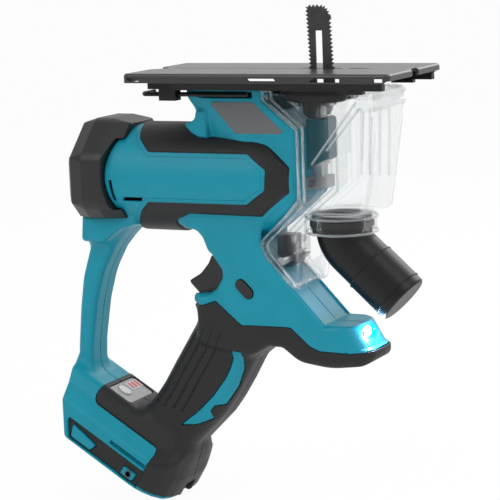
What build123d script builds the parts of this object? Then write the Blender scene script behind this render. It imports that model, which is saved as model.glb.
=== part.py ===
"""Cordless drywall saw: millimetres, Z up out of the shoe, X towards the dust box, Y across the tool.

The origin is on the shoe's work face, at the blade. The housing splits on the plane Y = 0.
"""
from build123d import *
from math import cos, pi, radians, sin, tan
import os

os.makedirs("parts", exist_ok=True)

# Clearances and common walls
face_gap = 0.3          # between a removable or moving piece and its neighbour
seat_gap = 0.05         # round seats and screw shanks
wall = 3.0              # moulded housing wall
skin = 2.0              # soft overmould thickness

# Shoe
plate_front = 68.0
plate_rear = -128.0
plate_half = 46.0
plate_thickness = 2.2
plate_corner = 3.0
skirt_depth = 6.5
skirt_wall = 2.0
window_top = 2.6        # depth of the skirt windows' upper edge below the face
windows = [(-124.0, -117.0), (-35.0, -13.0), (10.0, 32.0), (55.0, 62.0)]
blade_slot_half = 15.0
blade_slot_width = 4.0
groove_width = 1.4
groove_depth = 0.7
groove_rear = -114.0
notch_length = 12.0
notch_width = 3.0
front_slot = (19.0, 37.0)
front_slot_width = 3.6
front_notch_half = 6.0
front_notch_depth = 3.5

# Frame under the shoe
frame_depth = 11.0
rail_front = 63.0
rail_width = 5.0
tie_front = -84.0
tie_rear = -92.0
rail_block = (33.0, 49.0)
rail_block_drop = 2.3
tie_post_y = 14.0
tie_post_size = 7.0

# Motor axis and barrel
axis_z = -76.0
barrel_radius = 36.5
barrel_rear = -145.0
barrel_front = -10.0
barrel_taper_from = -32.0   # the barrel narrows from here to its front
barrel_taper = 25.0
pad_thickness = 2.0
ear_reach = 11.5        # how far the barrel's side ears run back into the cap
ear_radius = 41.0
ear_half = 26.0
ear_wall = 2.5
motor_rings = [(-145.0, -133.0), (-74.0, -70.0)]
vent_x = (-141.0, -125.0)
vent_z = (-88.6, -85.8)
ear_vent_x = (-151.6, -149.0)
ear_vent_z = (-97.0, -83.0)
vent_inner = 28.0

# Head: the flat-sided block that carries the shoe
head_half = 26.0
head_front = -8.5
head_top = -11.0
head_rear = -93.5
head_notch_x = -33.0
head_notch_z = -19.3
head_brow_z = -39.8     # where the sloping face meets the upright one
head_sill_z = -85.0     # where the upright face meets the throat
head_edge = 2.0
roof = 9.0              # solid depth under the head's top

# Throat behind the clear chin
throat_x = -41.0
throat_top = -116.0
throat_low = -121.0
ramp_top = (-16.5, -149.6)
nose_crease = (6.0, -173.5)

# Lower body and nose
body_half = 24.5
body_edge = 4.0
nose_tip = 44.0
nose_round_from = 20.0
nose_bottom = -205.4
grip_half = 19.0
grip_edge = 11.0
grip_toe = (-108.0, -282.0)
strut_half = 13.0
strut_edge = 4.0
saddle_half = 25.0
saddle_top = -103.5
lip_half = 17.0         # guard lip under the trigger

# Battery foot, drawn on its own sloping plane
foot_slope = 31.0
foot_corner = (-197.5, -263.5)
foot_length = 92.0
foot_half = 39.0
foot_side = 24.0
foot_shoulder_half = 28.0
foot_shoulder = 34.0
foot_hump_half = 22.0
foot_hump = 43.0
foot_front_round = 30.0
foot_rear_over = 17.0
soft_front = 65.0       # the overmould wraps the foot's front from here
soft_start = 3.0
battery_half = 31.0
battery_depth = 13.0
battery_front = 84.0
rail_lip = 5.0
rail_lip_height = 3.5
foot_notch_half = 8.0
foot_notch_height = 11.0
side_recess = (-4.0, 66.0)
side_recess_height = 16.0
side_recess_depth = 1.0
hook_p = 57.0
hook_n = 7.0
hook_insert_radius = 3.2
hook_insert_length = 5.5
hook_thread_radius = 2.0

# Rear cap
cap_rear = -190.0
cap_radius = 43.0
cap_neck = 39.0
cap_end_radius = 24.0
cap_wall = 3.0
cap_band = 15.0
cap_band_depth = 2.0
cap_seat = -176.0       # where the cap screws' heads bear

# Motor
can_radius = 27.0
can_wall = 2.0
can_rear = -137.0
can_front = -68.0
magnet_angle = 120.0
core_radius = 20.0
core_length = 40.0
air_gap = 0.8
core_slots = 12
slot_depth = 10.0
slot_width = 2.0
shaft_radius = 4.0
shaft_rear = -183.0
coil_radius = 17.5
coil_length = 9.0
fan_radius = 25.0
fan_x = -57.0
fan_width = 9.0
fan_blades = 11
fan_hub = 8.0
commutator_radius = 11.0
commutator_x = -158.0
commutator_length = 16.0
bearing_outer = 11.0
bearing_width = 7.0
rear_bearing_x = -178.0
front_bearing_x = -43.0
brush_width = 6.0
brush_length = 11.0
holder_thickness = 4.0

# Gears and stroke
gear_module = 1.0
pinion_teeth = 10
gear_teeth = 34
tooth_addendum = 0.9
tooth_dedendum = 1.15
tip_share = 0.09        # half of a tooth's tip, as a share of the pitch
root_share = 0.27
pinion_bore = 2.5
gear_x = -28.0
gear_width = 8.0
case_rear = -48.0
case_front = -36.0
gear_shaft_radius = 5.0
gear_bearing_outer = 9.0
case_drop = 22.0
case_rise = 38.0
crank_offset = 3.0      # half of the 6 mm stroke
crank_pin_radius = 2.5
stroke_half = 3.0

# Plunger, clamp and blade
plunger_half = 5.0
plunger_rear = -6.0
plunger_front = 0.0
yoke_wall = 3.0
plunger_top = -25.0
plunger_bottom = -82.0
guide_z = -77.0
guide_height = 8.0
guide_flange = 3.0
guide_half = 16.0
guide_wall = 3.0
clamp_half_x = 8.5
clamp_half_y = 4.6
clamp_top = -12.0
blade_thickness = 1.2
blade_width = 18.5
blade_reach = 43.0
blade_lean = 1.8        # how far the tip leans back
blade_slot = 5.0
blade_slot_top = 25.5
tooth_pitch = 2.7
tooth_depth = 1.8
tip_teeth = 3
tip_round = 8.0         # the tip's front corner
tip_round_teeth = 5
clamp_bolt_z = -18.5
clamp_bolt_radius = 2.2
bolt_x = -1.5
bolt_head_radius = 4.0
bolt_head_height = 3.5
bracket_wall = 3.0
bracket_flange = 4.0
bracket_half = 22.0

# Key
key_across = 3.0
key_y = -25.0
key_z = -15.8
key_rear = -126.5
key_front = -45.0
key_leg = 18.0
key_bend = 5.0
key_holder_front = -94.0
key_holder_rear = -119.0
clip_x = (-111.0, -98.0)
clip_bottom = -20.0

# Controls
trigger_half = 11.0
trigger_inner = -77.0
trigger_top = -134.0
trigger_bottom = -159.5
spring_wire = 0.5
spring_radius = 3.0
spring_pitch = 2.0
switch_rear = -68.0
switch_front = -40.0
switch_half = 12.0
switch_top = -133.5
switch_bottom = -160.0
lock_x = -52.6
lock_z = -150.0
lock_length = 15.0
lock_width = 7.5
lock_slant = -45.0
lock_proud = 1.2
gauge_p = 16.5
gauge_length = 20.0
gauge_width = 35.0
gauge_plate = 1.5
gauge_button_p = 14.5
gauge_button_y = -6.5
gauge_button_length = 10.0
gauge_button_width = 7.6
gauge_button_proud = 1.0
led_radius = 5.0
led_x = 28.0
led_z = -180.0
board_x = (-20.0, 8.0)
board_z = (-196.0, -187.0)
board_half = 15.0
terminal_p = (44.0, 82.0)
terminal_half = 20.0
terminal_height = 5.0
terminal_count = 4
terminal_pitch = 8.0
terminal_length = 20.0
terminal_drop = 4.5

# Dust box, chin and nozzle
box_half = 28.0
box_wall = 2.0
box_edge = 4.0
box_top = -12.0
box_front = 48.5
box_knee_z = -34.0
box_foot_x = 38.5
box_floor = -98.0
chin_half = 22.0
chin_front = -8.0
chin_lift = 1.1         # of the chin's bottom above the ramp's top
rib_inner = 18.0
rib_z = (-82.0, -62.0)
post_x = -15.5
post_y = -12.0
post_radius = 2.0
post_flange = 5.0
collar_x = 11.5
collar_radius = 24.3
collar_bottom = -111.5
collar_wall = 2.2
seal_thickness = 1.2
nozzle_radius = 18.2
nozzle_bore = 16.0
nozzle_bend_z = -117.0
nozzle_bend_radius = 22.0
nozzle_fall = 41.8      # angle of the outlet below level
elbow_end = 26.5
sleeve_end = 53.5
sleeve_step = 0.5
cap_lip = 6.0
plug_depth = 9.0
latch_x = (-34.0, -24.0)
latch_top = -114.5
latch_pivot = (-26.0, -130.5)
latch_pin_radius = 3.0
latch_hub = 5.5
latch_half = 8.0
latch_ribs = 4

# Fasteners
screw_radius = 1.75
screw_head_radius = 3.4
screw_head_height = 2.4
screw_boss = 4.2
screw_seat = 6.0        # depth of a head's seat below the side it is driven from
screw_hold = 8.0        # reach past the middle plane
cap_screw_circle = 30.5
cap_screw_end = -138.0
guide_screw_y = 13.0


def slab(corners, half_width, edge=0.0, inset=0.0):
    """Solid of a side outline, corners as x, z and radius, to half_width each side of the middle plane."""
    with BuildPart() as solid:
        with BuildSketch(Plane.XZ):
            with BuildLine():
                FilletPolyline(*[(x, z) for x, z, r in corners], radius=[r for x, z, r in corners], close=True)
            make_face()
            if inset:
                offset(amount=-inset, kind=Kind.INTERSECTION)
        extrude(amount=half_width, both=True)
        if edge:
            fillet(solid.faces().filter_by(Axis.Y).edges(), edge)
    return solid.part


def across(x, z, radius, y_from, y_to):
    """Round bar along Y."""
    with BuildPart() as bar:
        with BuildSketch(Plane.XZ.offset(-y_from)):
            with Locations((x, z)):
                Circle(radius)
        extrude(amount=-(y_to - y_from))
    return bar.part


def along(z, radius, x_from, x_to, y=0.0):
    """Round bar along X."""
    with BuildPart() as bar:
        with BuildSketch(Plane.YZ.offset(x_from)):
            with Locations((y, z)):
                Circle(radius)
        extrude(amount=x_to - x_from)
    return bar.part


def block(x_range, y_range, z_range):
    """Rectangular solid between the given limits."""
    low = (x_range[0], y_range[0], z_range[0])
    size = (x_range[1] - x_range[0], y_range[1] - y_range[0], z_range[1] - z_range[0])
    with BuildPart() as solid:
        with Locations(low):
            Box(*size, align=(Align.MIN, Align.MIN, Align.MIN))
    return solid.part


def finish(piece, name):
    """Label a piece and write it."""
    piece.part.label = name
    export_step(piece.part, f"parts/{name}.step")


# Sloping plane of the battery foot: X runs forwards and down, Z is its upward normal
slope = radians(foot_slope)
foot_plane = Plane(
    origin=(foot_corner[0], 0, foot_corner[1]),
    x_dir=(cos(slope), 0, -sin(slope)),
    z_dir=(sin(slope), 0, cos(slope)),
)


def foot_point(p, n):
    """World x and z of a point given along the foot's slope and normal."""
    return (
        foot_corner[0] + p * cos(slope) + n * sin(slope),
        foot_corner[1] - p * sin(slope) + n * cos(slope),
    )


# Shoe
with BuildPart() as base_plate:
    with BuildSketch():
        with Locations(((plate_front + plate_rear) / 2, 0)):
            RectangleRounded(plate_front - plate_rear, 2 * plate_half, plate_corner)
    extrude(amount=-skirt_depth)
    with BuildSketch(Plane.XY.offset(-plate_thickness)):
        with Locations(((plate_front + plate_rear) / 2, 0)):
            Rectangle(plate_front - plate_rear - 2 * skirt_wall, 2 * (plate_half - skirt_wall))
    extrude(amount=-skirt_depth, mode=Mode.SUBTRACT)
    with BuildSketch(Plane.XZ):
        for start, end in windows:
            with Locations(((start + end) / 2, -(window_top + skirt_depth) / 2)):
                Rectangle(end - start, skirt_depth - window_top)
    extrude(amount=plate_half, both=True, mode=Mode.SUBTRACT)
    with BuildSketch():
        SlotOverall(2 * blade_slot_half, blade_slot_width)
        with Locations((plate_rear + notch_length / 2, 0)):
            Rectangle(notch_length, notch_width)
        with Locations((plate_front, 0)):
            Rectangle(2 * front_notch_depth, 2 * front_notch_half)
        with BuildLine():
            Polyline(
                (front_slot[0], -front_slot_width / 2),
                (front_slot[1] - 2 * front_slot_width, -front_slot_width / 2),
                (front_slot[1], 0),
                (front_slot[1] - 2 * front_slot_width, front_slot_width / 2),
                (front_slot[0], front_slot_width / 2),
                close=True,
            )
        make_face()
    extrude(amount=-skirt_depth, mode=Mode.SUBTRACT)
    with BuildSketch():
        with Locations(((groove_rear - blade_slot_half) / 2, 0)):
            Rectangle(-blade_slot_half - groove_rear, groove_width)
    extrude(amount=-groove_depth, mode=Mode.SUBTRACT)
finish(base_plate, "base_plate")

tie_spots = [((tie_rear + tie_front) / 2, side * tie_post_y) for side in (-1, 1)]

# Frame: two rails under the skirt, tied across the head's rear
with BuildPart() as base_frame:
    for side in (-1, 1):
        outer = side * plate_half
        inner = side * (plate_half - rail_width)
        add(block((tie_rear, rail_front), sorted((outer, inner)), (-frame_depth, -skirt_depth)))
        add(block(rail_block, sorted((outer, inner)), (-frame_depth - rail_block_drop, -frame_depth)))
        post = (side * tie_post_y - tie_post_size / 2, side * tie_post_y + tie_post_size / 2)
        add(block((tie_rear, tie_front), post, (-skirt_depth, -plate_thickness)))
    add(block((tie_rear, tie_front), (-plate_half, plate_half), (-frame_depth, -skirt_depth)))
    with BuildSketch(Plane.XY.offset(-frame_depth)):
        with Locations(*tie_spots):
            Circle(screw_radius + seat_gap)
    extrude(amount=frame_depth - plate_thickness, mode=Mode.SUBTRACT)
    with BuildSketch(Plane.XY.offset(-plate_thickness)):
        with Locations(*tie_spots):
            Circle(screw_head_radius - 0.4)
    extrude(amount=-screw_head_height, mode=Mode.SUBTRACT)
finish(base_frame, "base_frame")

base_screw_length = frame_depth - plate_thickness + 8.0
with BuildPart() as base_screws:
    with BuildSketch(Plane.XY.offset(-plate_thickness - screw_head_height)):
        with Locations(*tie_spots):
            Circle(screw_radius)
    extrude(amount=screw_head_height - base_screw_length)
    with BuildSketch(Plane.XY.offset(-plate_thickness - screw_head_height)):
        with Locations(*tie_spots):
            Circle(screw_head_radius - 0.5)
    extrude(amount=screw_head_height - face_gap)
finish(base_screws, "base_screws")

# Outlines of the housing in the side view: x, z and corner radius
head_outline = [
    (head_rear, head_top, 2.5),
    (head_notch_x, head_top, 0),
    (head_notch_x, head_notch_z, 2.5),
    (head_front, head_brow_z, 5),
    (head_front, head_sill_z, 5),
    (throat_x + 0.5, throat_top, 5),
    (-70, throat_top, 5),
    (-88, axis_z - 20, 5),
    (-88, -26, 6),
    (head_rear, head_top - 7.5, 4),
]
lower_outline = [
    (-100, axis_z - 15, 0),
    (-110, axis_z - barrel_radius + 2, 6),
    (-98, -118.5, 14),
    (-89.5, -133, 20),
    (-82, -147, 9),
    (-88, -163, 7),
    (-95, -190, 6),
    (-52, -199, 8),
    (-40, -194.2, 6),
    (-22, -201.8, 30),
    (10.4, nose_bottom, 60),
    (37, -200.5, 13),
    (nose_tip, -192.5, 6),
    (36, -180, 10),
    (32.5, nose_crease[1] + 0.5, 6),
    (*nose_crease, 2),
    (*ramp_top, 30),
    (throat_x + 3.6, throat_low - 6.6, 6),
    (throat_x, throat_top - 2, 6),
    (throat_x + 0.5, axis_z - 10, 0),
]
lip_outline = [
    (-84, -160, 0),
    (-104.5, -161.3, 1.5),
    (-105, -166, 1.5),
    (-98, -171, 0),
    (-86, -171, 0),
]


def throat_cut(back):
    """What lies outside the throat's upper slope, moved back along X."""
    corners = [
        (head_front - back, head_sill_z, 0),
        (throat_x + 0.5 - back, throat_top, 0),
        (-throat_x, throat_top, 0),
        (-throat_x, head_sill_z, 0),
    ]
    return slab(corners, 2 * barrel_radius)


def barrel_bar(inset, front):
    """Round bar of the barrel with its tapered front, its skin moved in."""
    radius = barrel_radius - inset
    front_radius = radius - (front - barrel_taper_from) * tan(radians(barrel_taper))
    with BuildPart() as bar:
        with BuildSketch(Plane.XZ):
            with BuildLine():
                Polyline(
                    (barrel_rear, axis_z),
                    (barrel_rear, axis_z + radius),
                    (barrel_taper_from, axis_z + radius),
                    (front, axis_z + front_radius),
                    (front, axis_z),
                    close=True,
                )
            make_face()
        revolve(axis=Axis((0, 0, axis_z), (1, 0, 0)))
    return bar.part


barrel = barrel_bar(0, barrel_front) - throat_cut(0)
head = slab(head_outline, head_half, head_edge)
lower = slab(lower_outline, body_half, body_edge)
lower_core = slab(lower_outline, body_half - skin, inset=skin)
lip = slab(lip_outline, lip_half)


def nose_trim(inset):
    """What the nose's rounded plan leaves outside it."""
    with BuildPart() as trim:
        with BuildSketch(Plane.XY.offset(nose_bottom - wall)):
            with Locations((nose_round_from, 0)):
                Rectangle(2 * nose_tip, 4 * body_half, align=(Align.MIN, Align.CENTER))
            with Locations((nose_round_from, 0)):
                Ellipse(nose_tip - nose_round_from - inset, body_half - inset, mode=Mode.SUBTRACT)
        extrude(amount=nose_crease[1] - nose_bottom + 3 * wall)
    return trim.part


grip_rear_points = [
    (-94, -160), (-100, -174), (-103.5, -184), (-118, -209),
    (-125, -222), (-136, -238), (-150, -252),
]
grip_front_points = [
    (-96, -268), (-83, -249), (-70, -234), (-59, -217.5),
    (-50.5, -203), (-42, -188), (-40, -170),
]


def shifted(points, amount):
    """Points of an open outline moved square to it, to the left of its run."""
    moved = []
    for index, (x, z) in enumerate(points):
        before = points[max(index - 1, 0)]
        after = points[min(index + 1, len(points) - 1)]
        run = Vector(after[0] - before[0], after[1] - before[1]).normalized()
        moved.append((x - amount * run.Y, z + amount * run.X))
    return moved


def grip_body(inset):
    """Slanting grip with well rounded edges."""
    with BuildPart() as body:
        with BuildSketch(Plane.XZ):
            with BuildLine():
                rear = Spline(*shifted(grip_rear_points, inset))
                sole = Line(rear @ 1, (grip_toe[0], grip_toe[1] + inset))
                front = Spline(*shifted(grip_front_points, inset))
                Line(sole @ 1, front @ 0)
                Line(front @ 1, rear @ 0)
            make_face()
        extrude(amount=grip_half - inset, both=True)
        fillet(body.faces().filter_by(Axis.Y).edges(), grip_edge - inset)
    return body.part


strut_outer = [
    (-178, -112), (-183, -127), (-190.5, -150), (-194, -172),
    (-197, -200), (-198.5, -224), (-199, -242),
]
strut_inner = [
    (-181, -242), (-186.5, -224), (-185, -198), (-180, -169),
    (-173.5, -147), (-158, -120), (-154, -112.5),
]

with BuildPart() as strut:
    with BuildSketch(Plane.XZ):
        with BuildLine():
            strut_rear = Spline(*strut_outer)
            Line(strut_rear @ 1, strut_inner[0])
            strut_front = Spline(*strut_inner)
            Line(strut_front @ 1, strut_rear @ 0)
        make_face()
    extrude(amount=strut_half, both=True)
    fillet(strut.faces().filter_by(Axis.Y).edges(), strut_edge)

saddle = slab(
    [
        (-181, saddle_top, 0),
        (-138, saddle_top, 0),
        (-138, -108, 0),
        (-150, -112, 4),
        (-164, -122, 8),
        (-182.5, -122, 0),
    ],
    saddle_half,
)


def foot_body(inset):
    """Battery foot: a hipped section along the slope, cut to a rounded plan and an upright rear."""
    with BuildPart() as body:
        section = Plane(foot_plane.origin, x_dir=(0, 1, 0), z_dir=foot_plane.x_dir)
        with BuildSketch(section.offset(-2 * foot_rear_over)):
            with BuildLine():
                Polyline(
                    (-foot_half + inset, 0),
                    (-foot_half + inset, foot_side - inset),
                    (-foot_shoulder_half + inset / 2, foot_shoulder - inset),
                    (-foot_hump_half + inset / 2, foot_hump - inset),
                    (foot_hump_half - inset / 2, foot_hump - inset),
                    (foot_shoulder_half - inset / 2, foot_shoulder - inset),
                    (foot_half - inset, foot_side - inset),
                    (foot_half - inset, 0),
                    close=True,
                )
            make_face()
        extrude(amount=foot_length + 2 * foot_rear_over - inset)
        with BuildSketch(foot_plane.offset(-1)):
            with BuildLine():
                FilletPolyline(
                    (-3 * foot_rear_over, -foot_half),
                    (foot_length - inset, -foot_half),
                    (foot_length - inset, foot_half),
                    (-3 * foot_rear_over, foot_half),
                    radius=[0, foot_front_round, foot_front_round, 0],
                    close=True,
                )
            make_face()
        extrude(amount=2 * foot_hump, mode=Mode.INTERSECT)
        with BuildSketch(Plane.YZ.offset(foot_corner[0] + inset)):
            with Locations((0, foot_corner[1])):
                Rectangle(4 * foot_half, 8 * foot_hump)
        extrude(amount=-4 * foot_rear_over, mode=Mode.SUBTRACT)
    return body.part


# Where the soft overmould covers the housing
soft_side = [
    (-125, -169),
    (-103, -168.5),
    (-86, -162.5),
    (-73, -158.5),
    (-56, -175.5),
    (-18.5, -175),
    (-4, -187.5),
    (3, -190.3),
    (27, -190.6),
    (60, -187),
    (60, -215),
    (-40, -215),
    (-80, -300),
    (-170, -300),
]
with BuildPart() as soft_zone:
    with BuildSketch(Plane.XZ):
        with BuildLine():
            Polyline(*soft_side, close=True)
        make_face()
    extrude(amount=body_half + skin, both=True)
    with BuildSketch(foot_plane.offset(skin)):
        with Locations((soft_front, 0)):
            Rectangle(foot_length, 4 * foot_half, align=(Align.MIN, Align.CENTER))
    extrude(amount=foot_hump)
    with BuildSketch(foot_plane.offset(foot_shoulder - 2 * skin)):
        with Locations((soft_start, 0)):
            Rectangle(foot_length, 2 * foot_shoulder_half, align=(Align.MIN, Align.CENTER))
    extrude(amount=foot_hump)

# Outside of the whole housing, and the core that the overmould is cast on
with BuildPart() as outer:
    add(lower)
    add(nose_trim(0), mode=Mode.SUBTRACT)
    add(grip_body(0))
    add(lip)
    add(foot_body(0))
    add(barrel)
    add(head)
    add(saddle)
    add(strut.part)
with BuildPart() as core:
    add(lower_core)
    add(nose_trim(skin), mode=Mode.SUBTRACT)
    add(grip_body(skin))
    add(foot_body(skin))
gauge_plane = foot_plane.offset(foot_hump)
with BuildPart() as gauge_room:
    with BuildSketch(gauge_plane):
        with Locations((gauge_p, 0)):
            RectangleRounded(gauge_length, gauge_width, skin)
    extrude(amount=-gauge_plate)
    with BuildSketch(gauge_plane):
        with Locations((gauge_button_p, gauge_button_y)):
            SlotOverall(gauge_button_length + 2 * face_gap, gauge_button_width + 2 * face_gap)
    extrude(amount=-2 * (wall + skin))
with BuildPart() as soft:
    add(outer.part)
    add(core.part, mode=Mode.SUBTRACT)
    add(soft_zone.part, mode=Mode.INTERSECT)
    add(gauge_room.part, mode=Mode.SUBTRACT)
with BuildPart() as grip_rubber_left:
    add(soft.part)
    split(bisect_by=Plane.XZ, keep=Keep.TOP)
finish(grip_rubber_left, "grip_rubber_left")
with BuildPart() as grip_rubber_right:
    add(soft.part)
    split(bisect_by=Plane.XZ, keep=Keep.BOTTOM)
finish(grip_rubber_right, "grip_rubber_right")

# Side ears that run back from the barrel into the cap
ear_x = barrel_rear - ear_reach + ear_radius
far = 2 * barrel_radius


def ear_zone(gap):
    """Side outline of the ears, through the whole width."""
    with BuildPart() as zone:
        add(across(ear_x, axis_z, ear_radius + gap, -far, far))
        reach = (barrel_rear - ear_reach - gap, barrel_rear + wall)
        add(block(reach, (-far, far), (axis_z - ear_half - gap, axis_z + ear_half + gap)), mode=Mode.INTERSECT)
    return zone.part


with BuildPart() as ears:
    add(along(axis_z, barrel_radius, barrel_rear - ear_reach, barrel_rear + wall))
    add(along(axis_z, barrel_radius - ear_wall, barrel_rear - ear_reach, barrel_rear + wall), mode=Mode.SUBTRACT)
    add(ear_zone(0), mode=Mode.INTERSECT)

# Rooms hollowed out of the housing
shell = wall + skin
with BuildPart() as body_room:
    add(slab(lower_outline, body_half - shell, inset=shell))
    add(nose_trim(shell), mode=Mode.SUBTRACT)
with BuildPart() as foot_room:
    add(foot_body(shell))
    with BuildSketch(foot_plane.offset(battery_depth + wall)):
        Rectangle(6 * foot_length, 4 * foot_half)
    extrude(amount=-6 * battery_depth, mode=Mode.SUBTRACT)
with BuildPart() as barrel_room:
    add(barrel_bar(wall, barrel_front - wall))
    add(throat_cut(2 ** 0.5 * wall), mode=Mode.SUBTRACT)
with BuildPart() as head_room:
    add(slab(head_outline, head_half - wall, inset=wall))
    add(block((head_rear, 0), (-far, far), (head_top - roof, 0)), mode=Mode.SUBTRACT)

# Lugs inside the hollow: screw bosses, motor rings and posts for the electrical pieces
side_screws = [
    (-80.0, -28.0, head_half),
    (-58.0, -28.0, head_half),
    (-30.0, -97.0, head_half),
    (-72.0, -126.0, body_half),
    (-30.0, -160.0, body_half),
    (18.0, -184.0, body_half),
    (-170.0, -111.0, saddle_half),
    (*foot_point(0, foot_side - 4), foot_half),
]
post_spots = [
    (switch_rear + 6, switch_bottom + 4, switch_half),
    (switch_front - 5, switch_top - 6, switch_half),
    (board_x[0] + 6, (board_z[0] + board_z[1]) / 2, board_half),
    (board_x[1] - 6, (board_z[0] + board_z[1]) / 2, board_half),
]
with BuildPart() as lugs:
    for x, z, half in side_screws:
        add(across(x, z, screw_boss, 1 - half, half - 1))
    for x, z, half in post_spots:
        add(across(x, z, wall, half, body_half - wall))
        add(across(x, z, wall, wall - body_half, -half))
    for ring_x in motor_rings:
        with BuildSketch(Plane.YZ.offset(ring_x[0])):
            with Locations((0, axis_z)):
                Circle(barrel_radius - wall / 2)
                Circle(can_radius + seat_gap, mode=Mode.SUBTRACT)
        extrude(amount=ring_x[1] - ring_x[0])


def pill(y_from, y_to, gap):
    """Slanted pill bar of the lock button."""
    with BuildPart() as bar:
        with BuildSketch(Plane.XZ.offset(-y_from)):
            with Locations((lock_x, lock_z)):
                SlotOverall(lock_length + 2 * gap, lock_width + 2 * gap, rotation=lock_slant)
        extrude(amount=-(y_to - y_from))
    return bar.part


gear_z = axis_z + gear_module * (pinion_teeth + gear_teeth) / 2
key_radius = key_across / 3 ** 0.5
cap_screw_spots = [
    (cap_screw_circle * cos(radians(a)), axis_z + cap_screw_circle * sin(radians(a)))
    for a in (45, 135, 225, 315)
]
with BuildPart() as housing:
    add(outer.part)
    add(soft.part, mode=Mode.SUBTRACT)
    add(body_room.part, mode=Mode.SUBTRACT)
    add(grip_body(shell), mode=Mode.SUBTRACT)
    add(foot_room.part, mode=Mode.SUBTRACT)
    add(barrel_room.part, mode=Mode.SUBTRACT)
    add(head_room.part, mode=Mode.SUBTRACT)
    add(ears.part)
    add(lugs.part)
    # battery recess with a lip along each side, open at the rear
    with BuildSketch(foot_plane.offset(rail_lip_height)):
        with Locations((battery_front, 0)):
            Rectangle(2 * foot_length, 2 * battery_half, align=(Align.MAX, Align.CENTER))
    extrude(amount=battery_depth - rail_lip_height, mode=Mode.SUBTRACT)
    with BuildSketch(foot_plane.offset(-1)):
        with Locations((battery_front, 0)):
            Rectangle(2 * foot_length, 2 * (battery_half - rail_lip), align=(Align.MAX, Align.CENTER))
    extrude(amount=rail_lip_height + 2, mode=Mode.SUBTRACT)
    # latch notch through the foot's front, and the shallow recess on each side of the foot
    with BuildSketch(foot_plane.offset(-1)):
        with Locations((battery_front - 1, 0)):
            Rectangle(foot_length, 2 * foot_notch_half, align=(Align.MIN, Align.CENTER))
    extrude(amount=foot_notch_height + 1, mode=Mode.SUBTRACT)
    with BuildSketch(foot_plane.offset(-1)):
        with Locations((side_recess[0], 0)):
            Rectangle(side_recess[1] - side_recess[0], 2 * foot_half + 1, align=(Align.MIN, Align.CENTER))
            Rectangle(
                side_recess[1] - side_recess[0],
                2 * (foot_half - side_recess_depth),
                align=(Align.MIN, Align.CENTER),
                mode=Mode.SUBTRACT,
            )
    extrude(amount=side_recess_height + 1, mode=Mode.SUBTRACT)
    with Locations(foot_plane):
        with Locations(*[Location((hook_p, side * foot_half, hook_n), (90, 0, 0)) for side in (-1, 1)]):
            Cylinder(hook_insert_radius, 2 * (hook_insert_length + side_recess_depth), mode=Mode.SUBTRACT)
    # gauge, trigger, lock button and lamp
    add(gauge_room.part, mode=Mode.SUBTRACT)
    trigger_room = trigger_half + face_gap
    opening = (trigger_bottom - face_gap, trigger_top + face_gap)
    add(block((-115, trigger_inner + 1), (-trigger_room, trigger_room), opening), mode=Mode.SUBTRACT)
    add(pill(-far, far, face_gap), mode=Mode.SUBTRACT)
    add(along(led_z, led_radius, led_x, nose_tip), mode=Mode.SUBTRACT)
    # crank, guide screws, key groove and vents
    crank_sweep = crank_offset + crank_pin_radius + 2 * face_gap
    add(along(gear_z, crank_sweep, head_front - 2 * wall, head_front + 1), mode=Mode.SUBTRACT)
    for y in (-guide_screw_y, guide_screw_y):
        add(along(guide_z, screw_radius, head_front - 2 * wall, head_front + 1, y), mode=Mode.SUBTRACT)
    key_room = key_radius + face_gap
    add(along(key_z, key_room, head_rear - 1, key_front + 4, key_y), mode=Mode.SUBTRACT)
    groove_z = (key_z - key_room, key_z + key_room)
    add(block((head_rear - 1, key_front + 4), (-far, key_y), groove_z), mode=Mode.SUBTRACT)
    for y in ((-far, -vent_inner), (vent_inner, far)):
        add(block(vent_x, y, vent_z), mode=Mode.SUBTRACT)
        add(block(ear_vent_x, y, ear_vent_z), mode=Mode.SUBTRACT)
    # screw holes: the side screws' heads sit in the far half
    with BuildSketch(Plane.XY.offset(head_top)):
        with Locations(*tie_spots):
            Circle(screw_radius + seat_gap)
    extrude(amount=-base_screw_length, mode=Mode.SUBTRACT)
    for x, z, half in side_screws:
        add(across(x, z, screw_radius + seat_gap, -screw_hold, half), mode=Mode.SUBTRACT)
        add(across(x, z, screw_head_radius + face_gap, half - screw_seat, half + 1), mode=Mode.SUBTRACT)
    for y, z in cap_screw_spots:
        add(along(z, screw_radius + seat_gap, barrel_rear - 1, cap_screw_end + 1, y), mode=Mode.SUBTRACT)
with BuildPart() as housing_left:
    add(housing.part)
    split(bisect_by=Plane.XZ, keep=Keep.TOP)
finish(housing_left, "housing_left")
with BuildPart() as housing_right:
    add(housing.part)
    split(bisect_by=Plane.XZ, keep=Keep.BOTTOM)
finish(housing_right, "housing_right")
with BuildPart() as housing_screws:
    for x, z, half in side_screws:
        add(across(x, z, screw_radius, -screw_hold + 1, half - screw_seat))
        add(across(x, z, screw_head_radius, half - screw_seat, half - screw_seat + screw_head_height))
finish(housing_screws, "housing_screws")

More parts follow.
